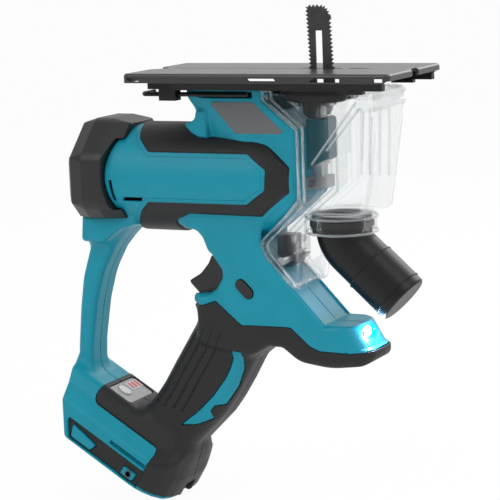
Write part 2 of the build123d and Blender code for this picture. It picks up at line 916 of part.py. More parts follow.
# Soft pads on the barrel's sides, a C in the side view
pad_outline = [
    (-127, -36.5),
    (-121, -30),
    (-86, -30),
    (-81, -44),
    (-33, -44.5),
    (-11.5, -64),
    (-11.5, -82),
    (-34.5, -99.5),
    (-84, -99),
    (-90.5, -104.5),
    (-87, -118),
    (-128.5, -118),
    (-124.5, -95),
    (-116, -88.7),
    (-44, -88.7),
    (-30.5, -79),
    (-30, -66.5),
    (-43.5, -56.7),
    (-116, -56.7),
    (-120, -54),
]
with BuildPart() as pads:
    add(barrel_bar(-pad_thickness, barrel_front - 1))
    add(barrel_bar(0, barrel_front), mode=Mode.SUBTRACT)
    with BuildSketch(Plane.XZ):
        with BuildLine():
            Polyline(*pad_outline, close=True)
        make_face()
    extrude(amount=far, both=True, mode=Mode.INTERSECT)
    add(outer.part, mode=Mode.SUBTRACT)
with BuildPart() as barrel_pad_left:
    add(pads.part)
    split(bisect_by=Plane.XZ, keep=Keep.TOP)
finish(barrel_pad_left, "barrel_pad_left")
with BuildPart() as barrel_pad_right:
    add(pads.part)
    split(bisect_by=Plane.XZ, keep=Keep.BOTTOM)
finish(barrel_pad_right, "barrel_pad_right")

# Rear cap over the motor's end
cap_profile = [
    (barrel_rear, cap_neck - cap_wall),
    (barrel_rear, cap_neck),
    (barrel_rear - 12, cap_radius),
    (barrel_rear - 24, cap_radius),
    (barrel_rear - 35, cap_neck),
    (cap_rear, cap_end_radius),
    (cap_rear, 0),
    (cap_rear + cap_wall, 0),
    (cap_rear + cap_wall, cap_end_radius - cap_wall),
    (barrel_rear - 27, cap_neck - cap_wall),
]
with BuildPart() as ear_room:
    add(along(axis_z, far, barrel_rear - 2 * ear_reach, barrel_rear + 1))
    inside = barrel_radius - ear_wall - face_gap
    add(along(axis_z, inside, barrel_rear - 2 * ear_reach, barrel_rear + 1), mode=Mode.SUBTRACT)
    add(ear_zone(face_gap), mode=Mode.INTERSECT)
with BuildPart() as rear_cap:
    with BuildSketch(Plane.XZ):
        with BuildLine():
            Polyline(*[(x, axis_z + r) for x, r in cap_profile], close=True)
        make_face()
    revolve(axis=Axis((0, 0, axis_z), (1, 0, 0)))
    add(along(axis_z, bearing_outer + wall, cap_rear + 1, rear_bearing_x + bearing_width))
    for y, z in cap_screw_spots:
        add(along(z, screw_boss, cap_seat - screw_seat, barrel_rear - holder_thickness, y))
    add(along(axis_z, bearing_outer, rear_bearing_x - bearing_width / 2, rear_bearing_x + far), mode=Mode.SUBTRACT)
    add(along(axis_z, shaft_radius + 1, shaft_rear - 1, rear_bearing_x), mode=Mode.SUBTRACT)
    for y, z in cap_screw_spots:
        add(along(z, screw_head_radius + face_gap, cap_rear - 1, cap_seat, y), mode=Mode.SUBTRACT)
        add(along(z, screw_radius + seat_gap, cap_seat - 1, barrel_rear, y), mode=Mode.SUBTRACT)
    add(ear_room.part, mode=Mode.SUBTRACT)
    add(block((cap_rear - 1, barrel_rear), (-far, far), (axis_z - far, saddle_top)), mode=Mode.SUBTRACT)
    band = (axis_z - cap_band, axis_z + cap_band)
    add(block((cap_rear - 1, cap_rear + cap_band_depth), (-far, far), band), mode=Mode.SUBTRACT)
finish(rear_cap, "rear_cap")
with BuildPart() as cap_screws:
    for y, z in cap_screw_spots:
        add(along(z, screw_radius, cap_seat, cap_screw_end, y))
        add(along(z, screw_head_radius, cap_seat - screw_head_height, cap_seat, y))
finish(cap_screws, "cap_screws")

# Motor: still pieces
can_inner = can_radius - can_wall
core_x = ((can_rear + can_front - core_length) / 2, (can_rear + can_front + core_length) / 2)
with BuildPart() as motor_can:
    add(along(axis_z, can_radius, can_rear, can_front))
    add(along(axis_z, can_inner, can_rear - 1, can_front - can_wall), mode=Mode.SUBTRACT)
    add(along(axis_z, coil_radius, can_rear, can_front + 1), mode=Mode.SUBTRACT)
finish(motor_can, "motor_can")
with BuildPart() as magnets:
    add(along(axis_z, can_inner, *core_x))
    add(along(axis_z, core_radius + air_gap, *core_x), mode=Mode.SUBTRACT)
    spread = tan(radians(90 - magnet_angle / 2))
    for side in (-1, 1):
        with BuildSketch(Plane.YZ.offset(core_x[0])):
            with BuildLine():
                top = axis_z + side * far
                Polyline((0, axis_z), (-far * spread, top), (far * spread, top), close=True)
            make_face()
        extrude(amount=core_length, mode=Mode.SUBTRACT)
finish(magnets, "magnets")
brush_reach = commutator_radius + face_gap + brush_length
with BuildPart() as brush_holder:
    plate_x = (barrel_rear - holder_thickness, barrel_rear)
    add(along(axis_z, barrel_radius - wall - face_gap, *plate_x))
    add(along(axis_z, commutator_radius + wall, plate_x[0] - 1, barrel_rear + 1), mode=Mode.SUBTRACT)
    add(block(plate_x, (-far, far), (axis_z - far, saddle_top + face_gap)), mode=Mode.SUBTRACT)
    box_half_width = brush_width / 2 + 2
    for side in (-1, 1):
        reach = sorted((side * (commutator_radius + 2), side * (brush_reach + 2)))
        sleeve_x = (commutator_x - box_half_width, barrel_rear - 1)
        add(block(sleeve_x, reach, (axis_z - box_half_width, axis_z + box_half_width)))
    brush_z = (axis_z - brush_width / 2, axis_z + brush_width / 2)
    brush_x = (commutator_x - brush_width / 2, commutator_x + brush_width / 2)
    add(block(brush_x, (-brush_reach, brush_reach), brush_z), mode=Mode.SUBTRACT)
    for y, z in cap_screw_spots:
        add(along(z, screw_radius + seat_gap, barrel_rear - far, barrel_rear + 1, y), mode=Mode.SUBTRACT)
finish(brush_holder, "brush_holder")
with BuildPart() as brushes:
    for side in (-1, 1):
        reach = sorted((side * (commutator_radius + face_gap), side * brush_reach))
        add(block(brush_x, reach, brush_z))
finish(brushes, "brushes")


def ring(z, outer_radius, inner_radius, x_from, x_to):
    """Tube along X on the middle plane."""
    with BuildPart() as tube:
        add(along(z, outer_radius, x_from, x_to))
        add(along(z, inner_radius, x_from - 1, x_to + 1), mode=Mode.SUBTRACT)
    return tube.part


running = shaft_radius + seat_gap
half_bearing = bearing_width / 2
with BuildPart() as rear_bearing:
    add(ring(axis_z, bearing_outer, running, rear_bearing_x - half_bearing, rear_bearing_x + half_bearing))
finish(rear_bearing, "rear_bearing")
with BuildPart() as front_bearing:
    add(ring(axis_z, bearing_outer, running, front_bearing_x - half_bearing, front_bearing_x + half_bearing))
finish(front_bearing, "front_bearing")

# Motor: turning pieces
gear_rear = gear_x - gear_width / 2
gear_front = gear_x + gear_width / 2
with BuildPart() as armature_shaft:
    add(along(axis_z, shaft_radius, shaft_rear, gear_rear - 2))
    add(along(axis_z, pinion_bore, gear_rear - 2, gear_front))
finish(armature_shaft, "armature_shaft")
with BuildPart() as armature_core:
    add(ring(axis_z, core_radius, shaft_radius, *core_x))
    with BuildSketch(Plane.YZ.offset(core_x[0])):
        with Locations((0, axis_z)):
            with PolarLocations(core_radius, core_slots):
                Rectangle(slot_depth, slot_width)
    extrude(amount=core_length, mode=Mode.SUBTRACT)
finish(armature_core, "armature_core")
with BuildPart() as armature_windings:
    add(ring(axis_z, coil_radius - face_gap, shaft_radius, core_x[0] - coil_length, core_x[0]))
    add(ring(axis_z, coil_radius - face_gap, shaft_radius, core_x[1], core_x[1] + coil_length))
finish(armature_windings, "armature_windings")
half_commutator = commutator_length / 2
with BuildPart() as commutator:
    commutator_ends = (commutator_x - half_commutator, commutator_x + half_commutator)
    add(ring(axis_z, commutator_radius, shaft_radius, *commutator_ends))
finish(commutator, "commutator")
fan_ends = (fan_x - fan_width / 2, fan_x + fan_width / 2)
with BuildPart() as cooling_fan:
    add(along(axis_z, fan_radius, fan_ends[0], fan_ends[0] + 1.5))
    add(along(axis_z, fan_hub, *fan_ends))
    with BuildSketch(Plane.YZ.offset(fan_ends[0])):
        with Locations((0, axis_z)):
            with PolarLocations((fan_hub + fan_radius) / 2 - 1, fan_blades):
                Rectangle(fan_radius - fan_hub, 1.5)
    extrude(amount=fan_width)
    add(along(axis_z, shaft_radius, fan_ends[0] - 1, fan_ends[1] + 1), mode=Mode.SUBTRACT)
finish(cooling_fan, "cooling_fan")


def gear_blank(teeth, z, start, x_from, x_to):
    """Straight-flanked spur gear along X, its first tooth at the angle start in degrees from Y."""
    tip = gear_module * (teeth / 2 + tooth_addendum)
    root = gear_module * (teeth / 2 - tooth_dedendum)
    corners = []
    for tooth in range(teeth):
        for radius, share in ((root, -root_share), (tip, -tip_share), (tip, tip_share), (root, root_share)):
            angle = radians(start) + 2 * pi * (tooth + share) / teeth
            corners.append((radius * cos(angle), z + radius * sin(angle)))
    with BuildPart() as blank:
        with BuildSketch(Plane.YZ.offset(x_from)):
            with BuildLine():
                Polyline(*corners, close=True)
            make_face()
        extrude(amount=x_to - x_from)
    return blank.part


with BuildPart() as pinion:
    add(gear_blank(pinion_teeth, axis_z, 90, gear_rear, gear_front))
    add(along(axis_z, pinion_bore, gear_rear - 1, gear_front + 1), mode=Mode.SUBTRACT)
finish(pinion, "pinion")
crank_disc = crank_offset + crank_pin_radius
with BuildPart() as drive_gear:
    add(gear_blank(gear_teeth, gear_z, 180 / gear_teeth - 90, gear_rear, gear_front))
    add(along(gear_z, gear_shaft_radius, gear_rear - 1, gear_front - 2), mode=Mode.SUBTRACT)
    add(along(gear_z, crank_disc, gear_front, head_front - wall - 1))
    add(along(gear_z, crank_pin_radius, gear_front, plunger_front - 0.5, crank_offset))
finish(drive_gear, "drive_gear")
with BuildPart() as gear_shaft:
    add(along(gear_z, gear_shaft_radius, case_rear + 2, gear_front - 2))
finish(gear_shaft, "gear_shaft")
with BuildPart() as gear_bearing:
    add(ring(gear_z, gear_bearing_outer, gear_shaft_radius + seat_gap, case_rear + 2, case_front))
finish(gear_bearing, "gear_bearing")
case_half = head_half - wall
with BuildPart() as gear_case:
    add(block((case_rear, case_front), (-case_half, case_half), (axis_z - case_drop, axis_z + case_rise)))
    add(along(axis_z, running + 1, case_rear - 1, case_front + 1), mode=Mode.SUBTRACT)
    add(along(axis_z, bearing_outer, front_bearing_x - half_bearing, case_front + 1), mode=Mode.SUBTRACT)
    add(along(gear_z, gear_bearing_outer, case_rear + 2, case_front + 1), mode=Mode.SUBTRACT)
finish(gear_case, "gear_case")

# Stroke: plunger with its yoke, guide, bracket, clamp and blade
yoke_half_y = crank_disc + face_gap + yoke_wall
yoke_half_z = crank_pin_radius + crank_offset + stroke_half + face_gap + yoke_wall
with BuildPart() as plunger:
    add(block((plunger_rear, plunger_front), (-plunger_half, plunger_half), (plunger_bottom, plunger_top)))
    yoke_z = (gear_z - yoke_half_z, gear_z + yoke_half_z)
    add(block((plunger_rear, plunger_front), (-yoke_half_y, yoke_half_y), yoke_z))
    slot_y = yoke_half_y - yoke_wall
    slot_z = (yoke_z[0] + yoke_wall, yoke_z[1] - yoke_wall)
    add(block((plunger_rear, plunger_front), (-slot_y, slot_y), slot_z), mode=Mode.SUBTRACT)
finish(plunger, "plunger")
guide_ends = (guide_z - guide_height / 2, guide_z + guide_height / 2)
slide_half = plunger_half + face_gap
with BuildPart() as plunger_guide:
    add(block((head_front, head_front + guide_flange), (-guide_half, guide_half), guide_ends))
    guide_front = plunger_front + face_gap + guide_wall
    add(block((head_front, guide_front), (-slide_half - guide_wall, slide_half + guide_wall), guide_ends))
    guide_x = (plunger_rear - face_gap, plunger_front + face_gap)
    add(block(guide_x, (-slide_half, slide_half), guide_ends), mode=Mode.SUBTRACT)
    for y in (-guide_screw_y, guide_screw_y):
        add(along(guide_z, screw_radius + seat_gap, head_front - 1, guide_front, y), mode=Mode.SUBTRACT)
finish(plunger_guide, "plunger_guide")
with BuildPart() as guide_screws:
    for y in (-guide_screw_y, guide_screw_y):
        seat_x = head_front + guide_flange
        add(along(guide_z, screw_radius, head_front - 2 * wall + 1, seat_x, y))
        add(along(guide_z, screw_head_radius - 0.5, seat_x, seat_x + screw_head_height, y))
finish(guide_screws, "guide_screws")
bracket_outline = [
    (-28, -plate_thickness - 1, 0),
    (28, -plate_thickness - 1, 0),
    (28, -11, 3),
    (17, -25, 6),
    (5, -36, 3),
    (-10, -36, 2),
    (-28, -21, 3),
]
with BuildPart() as front_bracket:
    add(slab(bracket_outline, slide_half + bracket_wall))
    add(block((-far, far), (-slide_half, slide_half), (-far, 0)), mode=Mode.SUBTRACT)
    add(slab([(bolt_x - 5, -10, 2), (bolt_x + 5, -10, 2), (bolt_x + 5, -27, 2), (bolt_x - 5, -27, 2)], far),
        mode=Mode.SUBTRACT)
    flange_z = (-plate_thickness - bracket_flange, -plate_thickness)
    add(block((-28, 28), (-bracket_half, bracket_half), flange_z))
    slot_reach = blade_slot_half + 1
    add(block((-slot_reach, slot_reach), (-slide_half, slide_half), flange_z), mode=Mode.SUBTRACT)
finish(front_bracket, "front_bracket")
with BuildPart() as blade_clamp:
    clamp_z = (plunger_top, clamp_top)
    add(block((-clamp_half_x, clamp_half_x), (-clamp_half_y, clamp_half_y), clamp_z))
    half_blade = blade_thickness / 2
    add(block((-far, far), (-half_blade, half_blade), clamp_z), mode=Mode.SUBTRACT)
    add(across(bolt_x, clamp_bolt_z, clamp_bolt_radius, -far, far), mode=Mode.SUBTRACT)
    add(block((-clamp_half_x, clamp_half_x), (-half_blade, half_blade), (plunger_top, plunger_top + 1.0)))
finish(blade_clamp, "blade_clamp")
with BuildPart() as clamp_bolt:
    add(across(bolt_x, clamp_bolt_z, clamp_bolt_radius, -clamp_half_y, clamp_half_y))
    add(across(bolt_x, clamp_bolt_z, bolt_head_radius, -clamp_half_y - bolt_head_height, -clamp_half_y))
    with BuildSketch(Plane.XZ.offset(clamp_half_y + bolt_head_height)):
        with Locations((bolt_x, clamp_bolt_z)):
            RegularPolygon(key_radius + seat_gap, 6)
    extrude(amount=-bolt_head_height + 1, mode=Mode.SUBTRACT)
    with BuildSketch(Plane.XZ.offset(-clamp_half_y)):
        with Locations((bolt_x, clamp_bolt_z)):
            RegularPolygon(bolt_head_radius, 6)
    extrude(amount=-bolt_head_height + 0.5)
finish(clamp_bolt, "clamp_bolt")

# Blade: hooked teeth up both edges and along the tip
left_teeth = int((blade_reach - 2) / tooth_pitch)
blade_corners = [(-blade_width / 2, plunger_top + 1.0), (-blade_width / 2, 1.0)]
for tooth in range(left_teeth):
    z = 1.0 + tooth * tooth_pitch
    lean = blade_lean * (z + tooth_pitch) / blade_reach
    blade_corners.append((-blade_width / 2 + tooth_depth - lean, z + 0.35 * tooth_pitch))
    blade_corners.append((-blade_width / 2 - lean, z + tooth_pitch))
tip_start = -blade_width / 2 - blade_lean + tooth_depth
for tooth in range(tip_teeth):
    x = tip_start + tooth * tooth_pitch
    blade_corners.append((x, blade_reach - tooth_depth))
    blade_corners.append((x + 0.65 * tooth_pitch, blade_reach))
tip_centre = (blade_width / 2 - blade_lean - tip_round, blade_reach - tip_round)
for tooth in range(tip_round_teeth):
    for share, radius in ((tooth, tip_round - tooth_depth), (tooth + 0.65, tip_round)):
        turn = radians(90 - 90 * share / tip_round_teeth)
        blade_corners.append((tip_centre[0] + radius * cos(turn), tip_centre[1] + radius * sin(turn)))
for tooth in reversed(range(int((tip_centre[1] - 1) / tooth_pitch))):
    z = 1.0 + tooth * tooth_pitch
    lean = blade_lean * (z + tooth_pitch) / blade_reach
    blade_corners.append((blade_width / 2 - lean, z + tooth_pitch))
    blade_corners.append((blade_width / 2 - tooth_depth - lean, z + 0.35 * tooth_pitch))
blade_corners.append((blade_width / 2, 1.0))
blade_corners.append((blade_width / 2, plunger_top + 1.0))
with BuildPart() as saw_blade:
    with BuildSketch(Plane.XZ):
        with BuildLine():
            Polyline(*blade_corners, close=True)
        make_face()
        with Locations((bolt_x, (blade_slot_top + plunger_top) / 2)):
            Rectangle(blade_slot, blade_slot_top - plunger_top, mode=Mode.SUBTRACT)
    extrude(amount=half_blade, both=True)
finish(saw_blade, "saw_blade")

# Hex key in its clip under the shoe
with BuildPart() as key_holder:
    clip_y = (key_y - 4, key_y + 4)
    add(block((key_holder_rear, key_holder_front), (key_y - 5, key_y + 5), (-frame_depth - 1, -plate_thickness)))
    add(block(clip_x, clip_y, (clip_bottom, -frame_depth)))
    add(along(key_z, key_radius + seat_gap, key_holder_rear, key_holder_front, key_y), mode=Mode.SUBTRACT)
finish(key_holder, "key_holder")
with BuildPart() as hex_key:
    with BuildLine() as key_path:
        FilletPolyline(
            (key_front, key_y, key_z),
            (key_rear, key_y, key_z),
            (key_rear, key_y + key_leg, key_z),
            radius=key_bend,
        )
    with BuildSketch(Plane(origin=key_path.line @ 0, z_dir=key_path.line % 0)):
        RegularPolygon(key_radius, 6)
    sweep()
finish(hex_key, "hex_key")

# Controls and electrical pieces
trigger_outline = [
    (trigger_inner, trigger_top, 0),
    (-91, trigger_top, 3),
    (-97, -142, 14),
    (-107, -150, 2.5),
    (-101, trigger_bottom, 4),
    (trigger_inner, trigger_bottom, 0),
]
with BuildPart() as trigger:
    add(slab(trigger_outline, trigger_half))
finish(trigger, "trigger")
with BuildPart() as trigger_spring:
    spring_length = switch_rear - trigger_inner - 2 * spring_wire
    with BuildLine() as coil:
        Helix(
            spring_pitch,
            spring_length,
            spring_radius,
            center=(trigger_inner + spring_wire, 0, (switch_top + switch_bottom) / 2),
            direction=(1, 0, 0),
        )
    with BuildSketch(Plane(origin=coil.line @ 0, z_dir=coil.line % 0)):
        Circle(spring_wire)
    sweep(is_frenet=True)
finish(trigger_spring, "trigger_spring")
with BuildPart() as switch_body:
    add(block((switch_rear, switch_front), (-switch_half, switch_half), (switch_bottom, switch_top)))
    add(pill(-far, far, face_gap), mode=Mode.SUBTRACT)
finish(switch_body, "switch_body")
with BuildPart() as lock_button:
    add(pill(-body_half - lock_proud, body_half + lock_proud, 0))
finish(lock_button, "lock_button")
with BuildPart() as controller_board:
    add(block(board_x, (-board_half, board_half), board_z))
finish(controller_board, "controller_board")
with BuildPart() as led_lens:
    add(along(led_z, led_radius, led_x, nose_tip))
    add(outer.part, mode=Mode.INTERSECT)
finish(led_lens, "led_lens")
with BuildPart() as led_board:
    add(block((led_x - 1.6, led_x), (-led_radius - 1, led_radius + 1), (led_z - led_radius - 1, led_z + 1)))
finish(led_board, "led_board")
with BuildPart() as gauge_panel:
    with BuildSketch(gauge_plane):
        with Locations((gauge_p, 0)):
            RectangleRounded(gauge_length, gauge_width, skin)
        with Locations((gauge_button_p, gauge_button_y)):
            slot_size = (gauge_button_length + 2 * face_gap, gauge_button_width + 2 * face_gap)
            SlotOverall(*slot_size, mode=Mode.SUBTRACT)
    extrude(amount=-gauge_plate)
finish(gauge_panel, "gauge_panel")
with BuildPart() as gauge_button:
    with BuildSketch(gauge_plane.offset(gauge_button_proud)):
        with Locations((gauge_button_p, gauge_button_y)):
            SlotOverall(gauge_button_length, gauge_button_width)
    extrude(amount=-shell)
finish(gauge_button, "gauge_button")
with BuildPart() as gauge_board:
    with BuildSketch(gauge_plane.offset(-shell)):
        with Locations((gauge_p, 0)):
            Rectangle(gauge_length, gauge_width)
    extrude(amount=-1.6)
finish(gauge_board, "gauge_board")
with BuildPart() as terminal_block:
    with BuildSketch(foot_plane.offset(battery_depth)):
        with Locations((terminal_p[0], 0)):
            Rectangle(terminal_p[1] - terminal_p[0], 2 * terminal_half, align=(Align.MIN, Align.CENTER))
    extrude(amount=-terminal_height)
finish(terminal_block, "terminal_block")
with BuildPart() as terminal_blades:
    with BuildSketch(foot_plane.offset(battery_depth - terminal_height)):
        with Locations(((terminal_p[0] + terminal_p[1]) / 2, 0)):
            with GridLocations(1, terminal_pitch, 1, terminal_count):
                Rectangle(terminal_length, 1.0)
    extrude(amount=-terminal_drop)
finish(terminal_blades, "terminal_blades")
hook_face = foot_half - side_recess_depth
with BuildPart() as hook_inserts:
    with Locations(foot_plane):
        insert_y = hook_face - hook_insert_length / 2
        with Locations(*[Location((hook_p, side * insert_y, hook_n), (90, 0, 0)) for side in (-1, 1)]):
            Cylinder(hook_insert_radius, hook_insert_length)
            Cylinder(hook_thread_radius, hook_insert_length, mode=Mode.SUBTRACT)
finish(hook_inserts, "hook_inserts")

# Clear dust box with its chin and collar
rear_x = head_front + face_gap
box_outline = [
    (rear_x, box_floor, 0),
    (box_foot_x, box_floor, 6),
    (box_front, box_knee_z, 6),
    (box_front, box_top, 6),
    (head_notch_x + face_gap, box_top, 0),
    (head_notch_x + face_gap, head_notch_z + face_gap, 0),
    (rear_x, head_brow_z + face_gap, 0),
]
room_outline = [
    (-far, box_floor + box_wall, 0),
    (box_foot_x - box_wall, box_floor + box_wall, 4),
    (box_front - box_wall, box_knee_z, 4),
    (box_front - box_wall, 0, 0),
    (-far, 0, 0),
]
chin_outline = [
    (rear_x, head_sill_z - 1.0, 0),
    (throat_x + 1.2, throat_top - 0.2, 5),
    (throat_x + 0.6, throat_low + 1, 5),
    (throat_x + 4.4, throat_low - 6.4, 5),
    (ramp_top[0] - 0.8, ramp_top[1] + chin_lift, 1),
    (chin_front, ramp_top[1] + chin_lift, 4),
    (chin_front, box_floor, 0),
    (rear_x, box_floor, 0),
]
chin_floor = ramp_top[1] + chin_lift + box_wall
with BuildPart() as dust_box:
    add(slab(box_outline, box_half))
    side_edges = dust_box.edges().filter_by(lambda e: abs(e.center().Y) > box_half - 0.1)
    fillet(side_edges.filter_by(lambda e: e.center().X > box_foot_x - 6), box_edge)
    add(slab(room_outline, box_half - box_wall), mode=Mode.SUBTRACT)
    add(slab(chin_outline, chin_half))
    chin_room = (-far, chin_front - box_wall)
    room_half = chin_half - box_wall
    add(block(chin_room, (-room_half, room_half), (chin_floor, head_sill_z)), mode=Mode.SUBTRACT)
    with BuildSketch(Plane.XY.offset(box_floor)):
        with Locations((collar_x, 0)):
            Circle(collar_radius)
    extrude(amount=collar_bottom - box_floor)
    add(block((chin_front - box_wall, rear_x + 2), (-chin_half, chin_half), (collar_bottom, box_floor + box_wall)))
    with BuildSketch(Plane.XY.offset(box_floor)):
        with Locations((collar_x, 0)):
            Circle(collar_radius - collar_wall)
    extrude(amount=collar_bottom - box_floor, mode=Mode.SUBTRACT)
    with BuildSketch(Plane.XY.offset(box_floor)):
        with Locations((collar_x, 0)):
            Circle(nozzle_bore)
    extrude(amount=box_wall, mode=Mode.SUBTRACT)
    for side in (-1, 1):
        rib_y = sorted((side * rib_inner, side * (box_half - box_wall / 2)))
        add(block((head_front, head_front + 3), rib_y, rib_z))
    with BuildSketch(Plane.XY.offset(chin_floor)):
        with Locations((post_x, post_y)):
            Circle(post_radius)
    extrude(amount=collar_bottom - chin_floor)
    with BuildSketch(Plane.XY.offset(collar_bottom - 6)):
        with Locations((post_x, post_y)):
            Circle(post_flange)
    extrude(amount=5)
finish(dust_box, "dust_box")
with BuildPart() as latch_pin:
    add(across(latch_pivot[0], latch_pivot[1], latch_pin_radius, box_wall - chin_half, chin_half - box_wall))
finish(latch_pin, "latch_pin")
with BuildPart() as box_latch:
    add(across(*latch_pivot, latch_hub, -latch_half, latch_half))
    add(block(latch_x, (-latch_half, latch_half), (latch_pivot[1] + 2, latch_top)))
    for step in range(latch_ribs):
        add(across(latch_x[1], latch_top - 2.5 - 2.6 * step, 0.8, -latch_half, latch_half))
    add(across(*latch_pivot, latch_pin_radius + seat_gap, -far, far), mode=Mode.SUBTRACT)
finish(box_latch, "box_latch")

# Swivelling nozzle under the collar
spigot_radius = collar_radius - collar_wall - seal_thickness - face_gap
seal_z = (box_floor + collar_bottom) / 2
with BuildPart() as nozzle_seal:
    with BuildSketch(Plane.XY.offset(seal_z - 2)):
        with Locations((collar_x, 0)):
            Circle(collar_radius - collar_wall)
            Circle(spigot_radius + face_gap, mode=Mode.SUBTRACT)
    extrude(amount=4)
finish(nozzle_seal, "nozzle_seal")
fall = radians(nozzle_fall)
outlet = (cos(fall), 0, -sin(fall))


def outlet_plane(distance):
    """Plane across the outlet at a distance from the elbow's corner."""
    return Plane(
        origin=(collar_x + distance * outlet[0], 0, nozzle_bend_z + distance * outlet[2]),
        x_dir=(0, 1, 0),
        z_dir=outlet,
    )


spigot_top = box_floor - face_gap


def elbow(radius):
    """Round bar from the spigot's top round the bend to the elbow's end."""
    with BuildPart() as bar:
        with BuildLine() as path:
            end = outlet_plane(elbow_end).origin
            FilletPolyline(
                (collar_x, 0, spigot_top),
                (collar_x, 0, nozzle_bend_z),
                (end.X, end.Y, end.Z),
                radius=nozzle_bend_radius,
            )
        with BuildSketch(Plane.XY.offset(spigot_top)):
            with Locations((collar_x, 0)):
                Circle(radius)
        sweep(path=path.line)
    return bar.part


with BuildPart() as nozzle_elbow:
    add(elbow(nozzle_radius))
    with BuildSketch(Plane.XY.offset(spigot_top)):
        with Locations((collar_x, 0)):
            Circle(spigot_radius)
    extrude(amount=collar_bottom - spigot_top + face_gap)
    add(elbow(nozzle_bore), mode=Mode.SUBTRACT)
finish(nozzle_elbow, "nozzle_elbow")
with BuildPart() as nozzle_sleeve:
    with BuildSketch(outlet_plane(elbow_end)):
        Circle(nozzle_radius + sleeve_step)
        Circle(nozzle_bore, mode=Mode.SUBTRACT)
    extrude(amount=sleeve_end - elbow_end)
finish(nozzle_sleeve, "nozzle_sleeve")
with BuildPart() as nozzle_cap:
    with BuildSketch(outlet_plane(sleeve_end)):
        Circle(nozzle_radius + sleeve_step / 2)
    extrude(amount=cap_lip)
    fillet(nozzle_cap.edges().group_by(Axis(origin=(0, 0, 0), direction=outlet))[-1], 2)
    with BuildSketch(outlet_plane(sleeve_end)):
        Circle(nozzle_bore - face_gap)
    extrude(amount=-plug_depth)
    with BuildSketch(outlet_plane(sleeve_end - plug_depth)):
        Circle(nozzle_bore - face_gap - wall)
    extrude(amount=plug_depth + 2, mode=Mode.SUBTRACT)
finish(nozzle_cap, "nozzle_cap")
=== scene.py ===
"""Looks of a cordless drywall saw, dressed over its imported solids.

Sizes are millimetres in the model's own frame: X towards the dust box, Z up along the blade and Y away
from the viewer. They turn into metres where a mesh is made. A shape is a function or a method that takes
the places of points and returns their distances to its skin, negative inside.
"""

import logging
import math
from collections.abc import Callable
from dataclasses import dataclass, field
from enum import Enum
from functools import cache, reduce
from typing import NamedTuple

import bpy
import numpy as np
from mathutils import Matrix, Vector


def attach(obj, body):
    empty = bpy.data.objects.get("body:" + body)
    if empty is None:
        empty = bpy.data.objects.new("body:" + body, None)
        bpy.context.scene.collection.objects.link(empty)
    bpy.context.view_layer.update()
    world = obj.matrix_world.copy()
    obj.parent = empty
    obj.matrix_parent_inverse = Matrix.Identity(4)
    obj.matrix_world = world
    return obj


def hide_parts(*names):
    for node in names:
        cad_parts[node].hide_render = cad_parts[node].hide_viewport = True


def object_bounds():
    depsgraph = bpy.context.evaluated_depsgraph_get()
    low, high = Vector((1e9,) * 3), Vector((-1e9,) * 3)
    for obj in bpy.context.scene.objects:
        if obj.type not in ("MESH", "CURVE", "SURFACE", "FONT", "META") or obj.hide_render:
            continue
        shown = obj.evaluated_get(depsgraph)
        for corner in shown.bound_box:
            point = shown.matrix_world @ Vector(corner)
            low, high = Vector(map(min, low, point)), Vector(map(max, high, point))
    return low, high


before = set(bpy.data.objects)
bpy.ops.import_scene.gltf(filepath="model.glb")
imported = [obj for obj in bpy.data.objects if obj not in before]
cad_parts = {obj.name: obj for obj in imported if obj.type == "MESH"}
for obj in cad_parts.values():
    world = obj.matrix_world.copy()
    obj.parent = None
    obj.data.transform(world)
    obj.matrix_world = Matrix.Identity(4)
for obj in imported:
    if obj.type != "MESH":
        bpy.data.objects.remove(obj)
cad_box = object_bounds()

Array = np.ndarray
Pair = tuple[float, float]
Triple = tuple[float, float, float]
Colour = tuple[float, float, float, float]
Room = tuple[Triple, Triple]
Corners = tuple[Triple, ...]

MM = 0.001
CELL = 0.4  # step of an outline's table of distances
MARGIN = 10.0  # reach of that table round the outline
CORNER_RUNS = 7  # short runs in a rounded corner
CORNER_SHARE = 0.49  # most of a side that one corner takes up
STRAIGHT = 1.56  # half angle from which a corner counts as straight
FAR = 1e9
TINY = 1e-9
SHORTEST = 1e-6  # least length that a direction is divided by
INSIDE = 0.001  # how far before its last place a table is read
CELL_CORNERS = 8
LEAD = 1.5  # grid steps outside a piece's room
SETTLES = 2  # times that a net's points are moved onto the skin
FLATTEST = 0.2  # least squared slope that a move is worked out with
SLOPE_REACH = 0.12  # how far to each side a slope is taken
SEAM = 0.05  # gap from each half to the middle plane
NOISE_MEAN = 0.5  # middle of a noise's values
WHITE_LIGHT = (1.0, 1.0, 1.0, 1.0)
log = logging.getLogger("drywall_saw")


class Place(NamedTuple):
    """Places of points along X, Y and Z."""

    x: Array
    y: Array
    z: Array


Shape = Callable[[Place], Array]


def overlap(*parts: Array) -> Array:
    """Distance to what several shapes share, with sharp edges."""
    return reduce(np.maximum, parts)


def union(*parts: Array) -> Array:
    """Distance to the nearest of several shapes."""
    return reduce(np.minimum, parts)


def between(place: Array, low: float, high: float) -> Array:
    """Distance to the stretch from low to high."""
    return np.maximum(low - place, place - high)


def away(u: Array, v: Array) -> Array:
    """Distance from an axis, from the places along the two directions square to it."""
    return np.sqrt(u * u + v * v)


def hollowed(distance: Array, wall: float) -> Array:
    """Distance to a shell with that wall from the distance to its outside."""
    return np.maximum(distance, -distance - wall)


def round_max(a: Array, b: Array, radius: float) -> Array:
    """Overlap of two shapes with the edge between them rounded.

    Args:
        a: distance to the first shape.
        b: distance to the second shape.
        radius: radius of the rounded edge.

    Returns:
        Distance to the overlap.
    """
    if radius <= 0:
        return np.maximum(a, b)
    u = np.maximum(a + radius, 0)
    v = np.maximum(b + radius, 0)
    return np.minimum(np.maximum(a, b), -radius) + np.sqrt(u * u + v * v)


def round_min(a: Array, b: Array, radius: float) -> Array:
    """Union of two shapes with a fillet of that radius where they meet."""
    return -round_max(-a, -b, radius)


